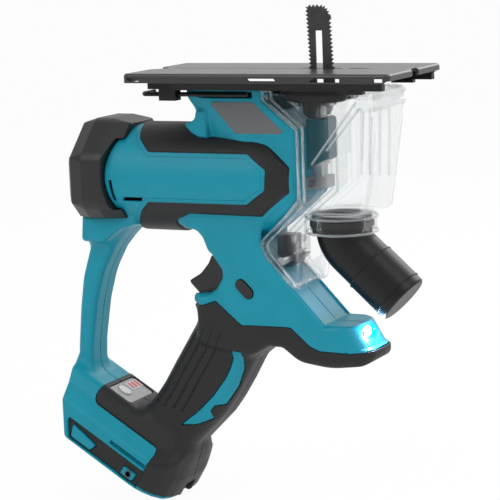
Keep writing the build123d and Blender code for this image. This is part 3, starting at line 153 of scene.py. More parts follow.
def bevel_max(a: Array, b: Array, size: float) -> Array:
    """Overlap of two shapes with a flat bevel, which takes that size off each side."""
    return np.maximum(np.maximum(a, b), (a + b + size) * math.sqrt(0.5))


@dataclass(frozen=True)
class Span:
    """Stretch along one axis: its middle and half of its length."""

    middle: float
    half: float

    def off(self, place: Array, shift: Array | float = 0.0) -> Array:
        """Distance to the stretch, with its middle moved by a shift."""
        return np.abs(place - self.middle - shift) - self.half


@dataclass(frozen=True)
class Edge:
    """Straight edge in a plane: a point on it and the direction that it faces."""

    at: Pair
    facing: Pair

    def off(self, u: Array, v: Array) -> Array:
        """Distance in front of the edge."""
        return (u - self.at[0]) * self.facing[0] + (v - self.at[1]) * self.facing[1]


class Outline:
    """Closed flat outline with rounded corners."""

    def __init__(self, corners: Corners) -> None:
        """Round the corners into short runs, and make a table of distances.

        Args:
            corners: first place, second place and radius of each corner, in order.
        """
        spots = []
        for index, (u, v, radius) in enumerate(corners):
            here = np.array((u, v))
            back = np.array(corners[index - 1][:2]) - here
            ahead = np.array(corners[(index + 1) % len(corners)][:2]) - here
            room = CORNER_SHARE * min(np.linalg.norm(back), np.linalg.norm(ahead))
            back = back / np.linalg.norm(back)
            ahead = ahead / np.linalg.norm(ahead)
            half = 0.5 * math.acos(max(-1.0, min(1.0, float(back @ ahead))))
            reach = min(radius / math.tan(half), room) if half < STRAIGHT else 0.0
            if reach <= 0:
                spots.append(here)
                continue
            middle = (back + ahead) / np.linalg.norm(back + ahead)
            centre = here + middle * reach / math.cos(half)
            start = here + back * reach - centre
            end = here + ahead * reach - centre
            for share in np.linspace(0, 1, CORNER_RUNS + 1):
                ray = start * (1 - share) + end * share
                spots.append(centre + ray / np.linalg.norm(ray) * np.linalg.norm(start))
        self.spots = np.array(spots)
        self.low = (self.spots.min(0) - MARGIN).tolist()
        self.counts = np.ceil((self.spots.max(0) + MARGIN - self.low) / CELL).astype(int).tolist()
        u, v = (low + CELL * np.arange(count + 1) for low, count in zip(self.low, self.counts))
        self.table = self._exact(u[:, None], v[None, :]).astype(np.float32)

    def _exact(self, u: Array, v: Array) -> Array:
        """Exact distance at places u and v.

        Args:
            u: first place of each point.
            v: second place of each point.

        Returns:
            The distances.
        """
        ends = np.roll(self.spots, -1, 0)
        best = np.full(np.broadcast(u, v).shape, FAR)
        inside = np.zeros(best.shape, bool)
        for (au, av), (bu, bv) in zip(self.spots.tolist(), ends.tolist()):
            run_u, run_v = bu - au, bv - av
            span = run_u * run_u + run_v * run_v
            if span < TINY:
                continue
            from_u, from_v = u - au, v - av
            share = np.clip((from_u * run_u + from_v * run_v) / span, 0, 1)
            best = np.minimum(best, (from_u - share * run_u) ** 2 + (from_v - share * run_v) ** 2)
            if run_v:
                inside ^= ((av <= v) != (bv <= v)) & (from_u < from_v * (run_u / run_v))
        return np.where(inside, -1, 1) * np.sqrt(best)

    def distance(self, u: Array, v: Array) -> Array:
        """Distance to the outline, read between the table's places.

        Args:
            u: first place of each point.
            v: second place of each point.

        Returns:
            The distances.
        """
        near_u = np.clip((u - self.low[0]) / CELL, 0, self.counts[0] - INSIDE)
        near_v = np.clip((v - self.low[1]) / CELL, 0, self.counts[1] - INSIDE)
        i, j = near_u.astype(np.int32), near_v.astype(np.int32)
        share_u, share_v = near_u - i, near_v - j
        here = self.table[i, j] * (1 - share_v) + self.table[i, j + 1] * share_v
        there = self.table[i + 1, j] * (1 - share_v) + self.table[i + 1, j + 1] * share_v
        past_u = u - self.low[0] - near_u * CELL
        past_v = v - self.low[1] - near_v * CELL
        return here * (1 - share_u) + there * share_u + away(past_u, past_v)


@cache
def outline(corners: Corners) -> Outline:
    """Outline with these corners, made at its first use."""
    return Outline(corners)


def flat(corners: Corners, u: Array, v: Array) -> Array:
    """Distance at places u and v to the outline with these corners."""
    return outline(corners).distance(u, v)


def slab(at: Place, corners: Corners, half: float, edge: float = 0.0) -> Array:
    """Distance to a side outline given a half thickness each way, with edges of that radius."""
    return round_max(flat(corners, at.x, at.z), np.abs(at.y) - half, edge)


def brick(at: Place, low: Triple, high: Triple, edge: float = 0.0) -> Array:
    """Distance to a box.

    Args:
        at: places of the points.
        low: its lowest corner.
        high: its highest corner.
        edge: radius of its edges.

    Returns:
        The distances.
    """
    sides = [np.abs(place - (a + b) / 2) - (b - a) / 2 + edge for place, a, b in zip(at, low, high)]
    outside = sum(np.maximum(side, 0) ** 2 for side in sides)
    return np.sqrt(outside) + np.minimum(overlap(*sides), 0) - edge


def upright(at: Place, axis: Pair, radius: float, low: float, high: float, edge: float = 0.3) -> Array:
    """Distance to an upright round bar from low to high, with rims of that edge radius."""
    return round_max(away(at.x - axis[0], at.y - axis[1]) - radius, between(at.z, low, high), edge)


def rod(at: Place, start: Triple, end: Triple, radius: float) -> Array:
    """Distance to a round bar with round ends.

    Args:
        at: places of the points.
        start: one end of its middle line.
        end: the other end.
        radius: its radius.

    Returns:
        The distances.
    """
    a, run = np.array(start), np.array(end) - np.array(start)
    dot = (at.x - a[0]) * run[0] + (at.y - a[1]) * run[1] + (at.z - a[2]) * run[2]
    share = np.clip(dot / float(run @ run), 0, 1)
    sides = [place - c - share * r for place, c, r in zip(at, a, run)]
    return np.sqrt(sides[0] ** 2 + sides[1] ** 2 + sides[2] ** 2) - radius


def ball(at: Place, middle: Triple, radii: Triple) -> Array:
    """Distance to a ball stretched to its own radius along each axis, exact where it is thinnest."""
    parts = [((place - m) / r) ** 2 for place, m, r in zip(at, middle, radii)]
    return (np.sqrt(parts[0] + parts[1] + parts[2]) - 1) * min(radii)


class Net(NamedTuple):
    """Points and faces of a shape's skin."""

    points: Array
    faces: Array


class Skinner:
    """Draws the skin of a shape as an even net of faces."""

    def __init__(self, low: Triple, high: Triple, step: float) -> None:
        """Lay out the grid.

        Args:
            low: lowest corner that the skin may reach.
            high: highest corner that the skin may reach.
            step: grid step.
        """
        self.step = step
        before, after = LEAD * step, (LEAD + 1) * step
        self.axes = [np.arange(a - before, b + after, step, dtype=np.float32) for a, b in zip(low, high)]

    def net(self, shape: Shape) -> Net:
        """Net of a shape's skin, settled onto the skin.

        Args:
            shape: the shape to draw.

        Returns:
            The net.
        """
        x, y, z = self.axes
        size = (len(x), len(y), len(z))
        values = np.broadcast_to(shape(Place(x[:, None, None], y[None, :, None], z[None, None, :])), size)
        inside = values < 0
        count = np.zeros(tuple(n - 1 for n in size), np.uint8)
        for corner in np.ndindex(2, 2, 2):
            count += inside[tuple(slice(c, n - 1 + c) for c, n in zip(corner, size))]
        active = (count > 0) & (count < CELL_CORNERS)
        cells = np.argwhere(active)
        number = np.full(active.shape, -1, np.int32)
        number[active] = np.arange(len(cells), dtype=np.int32)
        points = self._crossings(values, cells)
        return Net(self._settle(shape, points), self._faces(inside, number))

    def _crossings(self, values: Array, cells: Array) -> Array:
        """Mean of the skin's crossings with each cell's edges.

        Args:
            values: distances at the grid's points.
            cells: cells that the skin passes, one a row.

        Returns:
            A point for each cell, one a row.
        """
        total = np.zeros((len(cells), 3), np.float32)
        hits = np.zeros(len(cells), np.float32)
        for axis in range(3):
            for corner in np.ndindex(2, 2):
                start = np.insert(np.array(corner), axis, 0)
                end = np.insert(np.array(corner), axis, 1)
                first = values[tuple((cells + start).T)]
                second = values[tuple((cells + end).T)]
                cross = (first < 0) != (second < 0)
                share = np.where(cross, first / np.where(cross, first - second, 1), 0)
                spot = np.tile(start.astype(np.float32), (len(cells), 1))
                spot[:, axis] += share
                total += spot * cross[:, None]
                hits += cross
        origin = np.array([axis[0] for axis in self.axes], np.float32)
        return origin + (cells + total / hits[:, None]) * self.step

    def _faces(self, inside: Array, number: Array) -> Array:
        """Four-sided faces, one for each grid edge that the skin crosses.

        Args:
            inside: which of the grid's points are inside.
            number: number of each cell's point.

        Returns:
            The faces, one a row.
        """
        quads = []
        for axis in range(3):
            u, v = (axis + 1) % 3, (axis + 2) % 3
            lower = inside[tuple(slice(None, -1) if a == axis else slice(1, -1) for a in range(3))]
            upper = inside[tuple(slice(1, None) if a == axis else slice(1, -1) for a in range(3))]
            change = lower != upper
            where = np.argwhere(change)
            ring = []
            for step_u, step_v in ((0, 0), (1, 0), (1, 1), (0, 1)):
                cell = where.copy()
                cell[:, u] += step_u
                cell[:, v] += step_v
                ring.append(number[tuple(cell.T)])
            quad = np.stack(ring, 1)
            outward = lower[change]
            quad[~outward] = quad[~outward][:, ::-1]
            quads.append(quad)
        return np.concatenate(quads)

    def _settle(self, shape: Shape, points: Array) -> Array:
        """Points moved onto the skin along its slope.

        Args:
            shape: the shape.
            points: points near its skin, one a row.

        Returns:
            The moved points.
        """
        for _ in range(SETTLES):
            gap = shape(Place(*points.T))
            slope = slope_at(shape, points)
            steep = np.maximum((slope * slope).sum(1), FLATTEST)
            move = np.clip(gap / steep, -self.step / 2, self.step / 2)
            points = points - slope * move[:, None]
        return points


def slope_at(shape: Shape, points: Array) -> Array:
    """Slope of the distance at points, which is the skin's outward direction.

    Args:
        shape: the shape.
        points: places, one a row.

    Returns:
        The slopes, one a row.
    """
    slope = np.empty_like(points)
    for axis in range(3):
        ahead, back = points.copy(), points.copy()
        ahead[:, axis] += SLOPE_REACH
        back[:, axis] -= SLOPE_REACH
        slope[:, axis] = (shape(Place(*ahead.T)) - shape(Place(*back.T))) / (2 * SLOPE_REACH)
    return slope


def unit_slope(shape: Shape, points: Array) -> Array:
    """Outward direction of a shape's skin at points on it, with a length of one."""
    slope = slope_at(shape, points)
    return slope / np.maximum(np.linalg.norm(slope, axis=1, keepdims=True), SHORTEST)


def linear(red: int, green: int, blue: int) -> Colour:
    """Colour for a shader from the 0 to 255 values that a picture shows.

    Args:
        red: red part.
        green: green part.
        blue: blue part.

    Returns:
        Red, green, blue and alpha as light.
    """
    parts = [c / 255 for c in (red, green, blue)]
    light = [c / 12.92 if c <= 0.04045 else ((c + 0.055) / 1.055) ** 2.4 for c in parts]
    return (*light, 1.0)


def shade(colour: Colour, factor: float) -> Colour:
    """Colour made darker or lighter by a factor."""
    return (*(min(1.0, c * factor) for c in colour[:3]), 1.0)


class Wire:
    """An output socket that takes part in sums as a number does."""

    def __init__(self, shader: "Shader", socket: bpy.types.NodeSocket) -> None:
        """Keep the shader and its output socket."""
        self.shader = shader
        self.socket = socket

    def _math(self, operation: str, *values: "Wire | float") -> "Wire":
        """Result of a Math node."""
        return self.shader.node("ShaderNodeMath", {"operation": operation}, dict(enumerate(values)))

    def __add__(self, other: "Wire | float") -> "Wire":
        """Sum."""
        return self._math("ADD", self, other)

    def __radd__(self, other: float) -> "Wire":
        """Sum with a number first."""
        return self._math("ADD", other, self)

    def __sub__(self, other: "Wire | float") -> "Wire":
        """Difference."""
        return self._math("SUBTRACT", self, other)

    def __rsub__(self, other: float) -> "Wire":
        """Difference with a number first."""
        return self._math("SUBTRACT", other, self)

    def __mul__(self, other: "Wire | float") -> "Wire":
        """Product."""
        return self._math("MULTIPLY", self, other)

    def __rmul__(self, other: float) -> "Wire":
        """Product with a number first."""
        return self._math("MULTIPLY", other, self)

    def rise(self, low: float, high: float) -> "Wire":
        """Smooth rise from 0 at low to 1 at high."""
        sockets = {"Value": self, "From Min": low, "From Max": high}
        return self.shader.node("ShaderNodeMapRange", {"interpolation_type": "SMOOTHSTEP"}, sockets)

    def blend(self, first: Colour, second: Colour) -> "Wire":
        """Colour from first, where this value is 0, to second, where it is 1."""
        # for colours, this node's sockets are 6 and 7 and its output is 2
        return self.shader.node("ShaderNodeMix", {"data_type": "RGBA"}, {0: self, 6: first, 7: second}, 2)


class Shader:
    """Node tree of a material or a world, and the calls that fill it."""

    def __init__(self, owner: bpy.types.Material | bpy.types.World) -> None:
        """Start with an empty tree.

        Args:
            owner: the material or world that the tree belongs to.
        """
        owner.use_nodes = True
        self.owner = owner
        self.tree = owner.node_tree
        self.tree.nodes.clear()

    def node(
        self,
        kind: str,
        settings: dict[str, object] | None = None,
        sockets: dict[str | int, object] | None = None,
        output: str | int = 0,
    ) -> Wire | None:
        """Add a node.

        Args:
            kind: the node's type.
            settings: its own settings, set first.
            sockets: values or wires of its input sockets, by name or number.
            output: the output to hand back, by name or number.

        Returns:
            The wire from that output, or none from a node without outputs.
        """
        made = self.tree.nodes.new(kind)
        for key, value in (settings or {}).items():
            setattr(made, key, value)
        for key, value in (sockets or {}).items():
            if isinstance(value, Wire):
                self.tree.links.new(value.socket, made.inputs[key])
            else:
                made.inputs[key].default_value = value
        return Wire(self, made.outputs[output]) if made.outputs else None

    def place(self) -> Wire:
        """Place on the piece in metres."""
        return self.node("ShaderNodeTexCoord", output="Object")

    def stretched(self, scale: Triple) -> Wire:
        """Place with each axis scaled by its own amount."""
        return self.node("ShaderNodeMapping", {}, {"Vector": self.place(), "Scale": scale})

    def noise(self, size: float, detail: float, vector: Wire | None = None) -> Wire:
        """Noise from 0 to 1 with features of about that size in millimetres."""
        sockets = {"Vector": vector or self.place(), "Scale": 1 / (size * MM), "Detail": detail}
        return self.node("ShaderNodeTexNoise", {}, sockets)

    def bump(self, height: Wire, strength: float, depth: float) -> Wire:
        """Normal from a height that varies from 0 to 1 over a depth in millimetres."""
        sockets = {"Strength": strength, "Distance": depth * MM, "Height": height}
        return self.node("ShaderNodeBump", {}, sockets)

    def ray(self, kind: str) -> Wire:
        """One for rays of that kind, and zero for others."""
        return self.node("ShaderNodeLightPath", output=f"Is {kind} Ray")

    def finish(self, sockets: dict[str, object]) -> bpy.types.Material:
        """Close a material with a Principled shader.

        Args:
            sockets: the shader's values and wires by name.

        Returns:
            The material.
        """
        shader = self.node("ShaderNodeBsdfPrincipled", {}, sockets)
        self.node("ShaderNodeOutputMaterial", {}, {"Surface": shader})
        return self.owner


@dataclass(frozen=True)
class Moulding:
    """Moulded plastic or rubber: an eroded mould's fine grain and a faint mottle."""

    name: str
    colour: Colour
    roughness: float
    grain: float = 0.35
    depth: float = 0.03
    mottle: float = 0.06
    specular: float = 0.5
    cloud: float = 14.0
    cloud_gloss: float = 0.1
    grain_gloss: float = 0.12
    strength: float = 0.5
    fade: Pair = (0.3, 0.7)

    def material(self) -> bpy.types.Material:
        """Make the material.

        Returns:
            The material.
        """
        shader = Shader(bpy.data.materials.new(self.name))
        grain = shader.noise(self.grain, detail=3.0)
        cloud = shader.noise(self.cloud, detail=4.0)
        gloss = (cloud - NOISE_MEAN) * self.cloud_gloss + (grain - NOISE_MEAN) * self.grain_gloss
        dark, light = shade(self.colour, 1 - self.mottle), shade(self.colour, 1 + self.mottle)
        return shader.finish({
            "Base Color": cloud.rise(*self.fade).blend(dark, light),
            "Roughness": gloss + self.roughness,
            "Normal": shader.bump(grain, self.strength, self.depth),
            "Specular IOR Level": self.specular,
        })


@dataclass(frozen=True)
class Metal:
    """Bare or blackened metal with fine scratches along one axis."""

    name: str
    colour: Colour
    roughness: float
    metallic: float = 1.0
    lay: Triple = (0.06, 1.0, 1.0)
    scratch: float = 0.3
    scratch_gloss: float = 0.25
    strength: float = 0.35
    depth: float = 0.02
    cloud: float = 9.0
    cloud_gloss: float = 0.12
    shades: Pair = (0.82, 1.12)
    fade: Pair = (0.25, 0.75)

    def material(self) -> bpy.types.Material:
        """Make the material.

        Returns:
            The material.
        """
        shader = Shader(bpy.data.materials.new(self.name))
        lines = shader.noise(self.scratch, 3.0, shader.stretched(self.lay))
        cloud = shader.noise(self.cloud, detail=4.0)
        gloss = (lines - NOISE_MEAN) * self.scratch_gloss + (cloud - NOISE_MEAN) * self.cloud_gloss
        dark, light = (shade(self.colour, factor) for factor in self.shades)
        return shader.finish({
            "Base Color": cloud.rise(*self.fade).blend(dark, light),
            "Metallic": self.metallic,
            "Roughness": gloss + self.roughness,
            "Normal": shader.bump(lines, self.strength, self.depth),
        })


@dataclass(frozen=True)
class Clear:
    """Clear moulded plastic with a little haze and a faint ripple."""

    name: str
    colour: Colour
    alpha: float
    roughness: float = 0.0
    through: float = 1.0
    bending: float = 1.45
    haze: float = 22.0
    haze_gloss: float = 0.04
    ripple: float = 16.0
    strength: float = 0.12
    depth: float = 0.15

    def material(self) -> bpy.types.Material:
        """Make the material.

        Returns:
            The material.
        """
        shader = Shader(bpy.data.materials.new(self.name))
        haze = shader.noise(self.haze, detail=3.0)
        ripple = shader.noise(self.ripple, detail=1.0)
        return shader.finish({
            "Base Color": self.colour,
            "Roughness": haze * self.haze_gloss + self.roughness,
            "Transmission Weight": self.through,
            "IOR": self.bending,
            "Alpha": self.alpha,
            "Normal": shader.bump(ripple, self.strength, self.depth),
        })


@dataclass(frozen=True)
class Lamp:
    """Lit lens with small cells, some white and some tinted."""

    name: str
    glass: Colour
    tint: Colour
    strength: float
    roughness: float = 0.15
    cell: float = 1.2
    fade: Pair = (0.2, 0.8)

    def material(self) -> bpy.types.Material:
        """Make the material.

        Returns:
            The material.
        """
        shader = Shader(bpy.data.materials.new(self.name))
        cells = shader.noise(self.cell, detail=1.0)
        return shader.finish({
            "Base Color": self.glass,
            "Roughness": self.roughness,
            "Emission Color": cells.rise(*self.fade).blend(self.tint, WHITE_LIGHT),
            "Emission Strength": self.strength,
        })


class Palette(Enum):
    """Finishes of the saw, by what they are on."""

    TEAL = Moulding("teal_shell_plastic", linear(9, 141, 162), 0.42, 0.4, 0.012, 0.03, 0.3)
    RUBBER = Moulding("soft_grip_rubber", linear(24, 24, 24), 0.52, 0.45, 0.04, specular=0.4)
    BLACK = Moulding("black_cap_plastic", linear(24, 24, 24), 0.42, 0.4)
    NOZZLE = Moulding("nozzle_plastic", linear(9, 9, 10), 0.4, 0.3, 0.008, specular=0.35)
    # painted shade: a darker copy of the teal that stands in for the shade inside the head's open front
    SHADED_TEAL = Moulding("painted_shade_teal_plastic", linear(4, 80, 92), 0.5, 0.4, 0.012, 0.03, 0.3)
    TRIM = Moulding("trim_plastic", linear(24, 24, 24), 0.4, 0.35, 0.02)
    LABEL = Moulding("bare_label", linear(98, 101, 101), 0.35, 0.8, 0.004, 0.02)
    PANEL = Moulding("gauge_panel_film", linear(150, 148, 148), 0.35, 0.8, 0.004, 0.02)
    WHITE = Moulding("gauge_white", linear(206, 204, 203), 0.4, 0.8, 0.004, 0.02)
    RED = Moulding("gauge_red", linear(206, 92, 92), 0.4, 0.8, 0.004, 0.02)
    PLATE = Moulding("shoe_paint", linear(32, 31, 30), 0.33, 0.5, 0.02, 0.05, 0.7)
    FRAME = Moulding("black_frame_plastic", linear(9, 9, 9), 0.42, 0.4, specular=0.35)
    SEAL = Moulding("seal_rubber", linear(26, 26, 26), 0.6)
    FERRITE = Moulding("ferrite", linear(52, 52, 55), 0.6)
    BOARD = Moulding("board_resin", linear(32, 92, 58), 0.35)
    BLADE = Metal("blade_steel", linear(70, 70, 69), 0.34, metallic=0.85, lay=(1.0, 1.0, 0.06))
    STEEL = Metal("mechanism_steel", linear(168, 168, 170), 0.32)
    SCREW = Metal("fastener_steel", linear(92, 92, 94), 0.35)
    KEY = Metal("key_steel", linear(44, 44, 45), 0.38, metallic=0.7)
    ALLOY = Metal("case_alloy", linear(170, 172, 174), 0.5)
    COPPER = Metal("winding_copper", linear(186, 106, 62), 0.35)
    BRASS = Metal("insert_brass", linear(190, 155, 90), 0.32)
    CLEAR = Clear("clear_box_plastic", (0.76, 0.8, 0.81, 1.0), 0.22)
    EDGE = Clear("clear_box_edges", (0.82, 0.86, 0.87, 1.0), 0.5, 0.06, 0.7)
    LENS = Lamp("lamp_lens", (0.9, 0.95, 1.0, 1.0), (0.7, 0.87, 1.0, 1.0), 3.0)


PACKED: dict[Palette, tuple[str, ...]] = {
    Palette.PLATE: ("base_plate",),
    Palette.FRAME: ("base_frame", "key_holder", "front_bracket"),
    Palette.SCREW: (
        "base_screws", "housing_screws", "cap_screws", "guide_screws", "clamp_bolt", "hook_inserts",
    ),
    Palette.KEY: ("hex_key",),
    Palette.TEAL: ("housing_left", "housing_right"),
    Palette.BLACK: ("rear_cap", "brush_holder", "switch_body", "cooling_fan", "terminal_block"),
    Palette.RUBBER: ("barrel_pad_left", "barrel_pad_right", "grip_rubber_left", "grip_rubber_right"),
    Palette.STEEL: (
        "motor_can", "front_bearing", "rear_bearing", "gear_bearing", "trigger_spring", "armature_shaft",
        "armature_core", "pinion", "drive_gear", "gear_shaft", "plunger", "blade_clamp", "latch_pin",
    ),
    Palette.FERRITE: ("magnets", "brushes"),
    Palette.ALLOY: ("gear_case", "plunger_guide"),
    Palette.COPPER: ("armature_windings", "commutator"),
    Palette.BRASS: ("terminal_blades",),
    Palette.BOARD: ("controller_board", "led_board", "gauge_board"),
    Palette.LENS: ("led_lens",),
    Palette.TRIM: ("trigger", "lock_button", "box_latch"),
    Palette.PANEL: ("gauge_panel",),
    Palette.WHITE: ("gauge_button",),
    Palette.BLADE: ("saw_blade",),
    Palette.CLEAR: ("dust_box",),
    Palette.SEAL: ("nozzle_seal",),
    Palette.NOZZLE: ("nozzle_elbow", "nozzle_sleeve", "nozzle_cap"),
}


@dataclass(frozen=True)
class Piece:
    """What a piece is: its name, finish and material slot, its grid's room and step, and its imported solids.

    Keep is the share of faces left when flat stretches are thinned, and body is what the piece rides on. A
    seam is the edge radius along the middle plane of a piece made as two mirrored halves, whose names and
    solids get _left and _right.
    """

    name: str
    finish: Palette
    slot: str
    grid: Room
    step: float
    nodes: tuple[str, ...] = ()
    keep: float = 0.3
    body: str = "tool"
    seam: float = 0.0


class Workshop:
    """Makes materials once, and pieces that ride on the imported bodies."""

    def __init__(self) -> None:
        """Start with no materials made."""
        self.made: dict[Palette, bpy.types.Material] = {}

    def material(self, finish: Palette) -> bpy.types.Material:
        """Material of a finish, made at its first use.

        Args:
            finish: the finish.

        Returns:
            The material.
        """
        if finish not in self.made:
            self.made[finish] = finish.value.material()
        return self.made[finish]

    def paint(self, finish: Palette, nodes: tuple[str, ...]) -> None:
        """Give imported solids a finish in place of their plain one.

        Args:
            finish: the finish.
            nodes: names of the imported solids.
        """
        for name in nodes:
            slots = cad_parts[name].data.materials
            slots.clear()
            slots.append(self.material(finish))
            log.info("painted %s with %s", name, finish.name)

    def put(self, piece: Piece, suffix: str, net: Net, normals: Array) -> None:
        """Put a net into the scene as a piece.

        Args:
            piece: what the piece is.
            suffix: what follows its name and its solids' names.
            net: its points in millimetres and its faces.
            normals: outward direction at each point.
        """
        name = piece.name + suffix
        mesh = new_mesh(name, net)
        mesh.normals_split_custom_set_from_vertices(normals.tolist())
        mesh.materials.append(self.material(piece.finish))
        made = add_object(name, mesh)
        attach(made, piece.body)
        if piece.nodes:
            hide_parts(*(node + suffix for node in piece.nodes))
        log.info("made %s with %d faces", name, len(net.faces))

    def cast(self, piece: Piece, whole: Shape) -> None:
        """Draw a shape and put it into the scene, whole or as two halves.

        Args:
            piece: what the piece is.
            whole: its shape.
        """
        def near_half(at: Place) -> Array:
            """Distance to the half on the viewer's side."""
            return round_max(whole(at), at.y + SEAM, piece.seam)

        shape = near_half if piece.seam else whole
        step = piece.step * 1.0
        net = thinned(Skinner(*piece.grid, step).net(shape), piece.keep)
        normals = unit_slope(shape, net.points)
        self.put(piece, "_left" if piece.seam else "", net, normals)
        if piece.seam:
            flip = np.array((1, -1, 1), np.float32)
            self.put(piece, "_right", Net(net.points * flip, net.faces[:, ::-1]), normals * flip)


def add_object(name: str, data: bpy.types.ID) -> bpy.types.Object:
    """New object with that mesh, lamp or camera, linked into the scene.

    Args:
        name: the object's name.
        data: its mesh, lamp or camera.

    Returns:
        The object.
    """
    made = bpy.data.objects.new(name, data)
    bpy.context.scene.collection.objects.link(made)
    return made


def new_mesh(name: str, net: Net) -> bpy.types.Mesh:
    """Mesh from a net, in metres and smooth shaded.

    Args:
        name: the mesh's name.
        net: its points in millimetres and its faces.

    Returns:
        The mesh.
    """
    mesh = bpy.data.meshes.new(name)
    sides = net.faces.shape[1]
    mesh.vertices.add(len(net.points))
    mesh.vertices.foreach_set("co", (net.points * MM).astype(np.float32).ravel())
    mesh.loops.add(net.faces.size)
    mesh.loops.foreach_set("vertex_index", np.ascontiguousarray(net.faces, np.int32).ravel())
    mesh.polygons.add(len(net.faces))
    mesh.polygons.foreach_set("loop_start", np.arange(0, net.faces.size, sides, dtype=np.int32))
    mesh.update(calc_edges=True)
    mesh.polygons.foreach_set("use_smooth", np.ones(len(net.faces), bool))
    mesh.validate()
    return mesh


def thinned(net: Net, keep: float) -> Net:
    """Net with the faces of its flat stretches joined.

    Args:
        net: the even net.
        keep: share of the faces to keep.

    Returns:
        The net in triangles.
    """
    mesh = new_mesh("net", net)
    holder = add_object("net", mesh)
    holder.modifiers.new("thin", "DECIMATE").ratio = keep
    ready = holder.evaluated_get(bpy.context.evaluated_depsgraph_get()).to_mesh()
    ready.calc_loop_triangles()
    points = np.empty(len(ready.vertices) * 3, np.float32)
    ready.vertices.foreach_get("co", points)
    faces = np.empty(len(ready.loop_triangles) * 3, np.int32)
    ready.loop_triangles.foreach_get("vertices", faces)
    bpy.data.objects.remove(holder)
    bpy.data.meshes.remove(mesh)
    return Net(points.reshape(-1, 3) / MM, faces.reshape(-1, 3))


@dataclass
class Foot:
    """Battery foot and the rooms in it.

    Its own places are p, forwards and down along its slope, y across it, and n square to the slope.
    """

    slope: float = 31.0
    x: float = -197.5
    z: float = -263.5
    front: float = 92.0
    lean_from: float = 18.0
    lean: float = 0.45
    section: Corners = (
        (-39, 0, 1.2), (-39, 24, 4), (-28, 34, 5), (-21, 43.5, 8), (21, 43.5, 8), (28, 34, 5), (39, 24, 4),
        (39, 0, 1.2),
    )
    plan: Corners = ((-90, -39, 0), (92, -39, 31), (92, 39, 31), (-90, 39, 0))
    slot_inset: float = 4.5
    slot_end: float = 84.0
    slot_half: float = 31.0
    slot_height: Span = Span(8.25, 4.75)
    mouth_half: float = 26.0
    mouth_top: float = 4.5
    notch_half: float = 7.0
    notch_from: float = 86.2
    notch_height: Span = Span(5.5, 6.5)
    line_run: Span = Span(50.2, 16.2)
    line_height: Span = Span(19.4, 1.3)
    line_side: float = 35.5
    gauge: Corners = ((6.2, -17.8, 3), (26.8, -17.8, 3), (26.8, 17.8, 3), (6.2, 17.8, 3))
    gauge_floor: float = 42.95
    hook_at: Pair = (57.0, 7.0)
    hook_radius: float = 2.2
    hook_side: float = 33.0
    press_run: Span = Span(14.5, 5.6)
    press_across: Span = Span(-6.5, 5.6)
    press_floor: float = 37.5

    def axes(self, at: Place) -> tuple[Array, Array]:
        """Places p and n of points.

        Args:
            at: places of the points.

        Returns:
            The places p and the places n.
        """
        slope = math.radians(self.slope)
        p = (at.x - self.x) * math.cos(slope) - (at.z - self.z) * math.sin(slope)
        n = (at.x - self.x) * math.sin(slope) + (at.z - self.z) * math.cos(slope)
        return p, n

    def block(self, at: Place) -> Array:
        """Shape of a hipped section along the slope, with a round front and an upright rear.

        Args:
            at: places of the points.

        Returns:
            The distances.
        """
        p, n = self.axes(at)
        front = p - self.front + np.maximum(n - self.lean_from, 0) * self.lean
        hips = round_max(flat(self.section, at.y, n), flat(self.plan, p, at.y), radius=3.0)
        return round_max(round_max(hips, front, radius=9.0), self.x - at.x, radius=2.5)

    def rooms(self, at: Place) -> Array:
        """Shape of battery slot and mouth, latch notch, side line, gauge window, hook hole, button room.

        Args:
            at: places of the points.

        Returns:
            The distances.
        """
        p, n = self.axes(at)
        side = np.abs(at.y)
        limit = np.maximum(flat(self.plan, p, at.y) + self.slot_inset, p - self.slot_end)
        hook = away(p - self.hook_at[0], n - self.hook_at[1]) - self.hook_radius
        return union(
            overlap(side - self.slot_half, limit, self.slot_height.off(n)),
            overlap(side - self.mouth_half, limit, n - self.mouth_top),
            overlap(side - self.notch_half, self.notch_from - p, self.notch_height.off(n)),
            overlap(self.line_run.off(p), self.line_height.off(n), self.line_side - side),
            overlap(flat(self.gauge, p, at.y), self.gauge_floor - n),
            overlap(hook, self.hook_side - side),
            overlap(self.press_run.off(p), self.press_across.off(at.y), self.press_floor - n),
        )


class SoftRoom(NamedTuple):
    """Distances to a room of the overmould, how deep it goes and how far its skin stands proud."""

    zone: Array
    deep: float
    proud: float


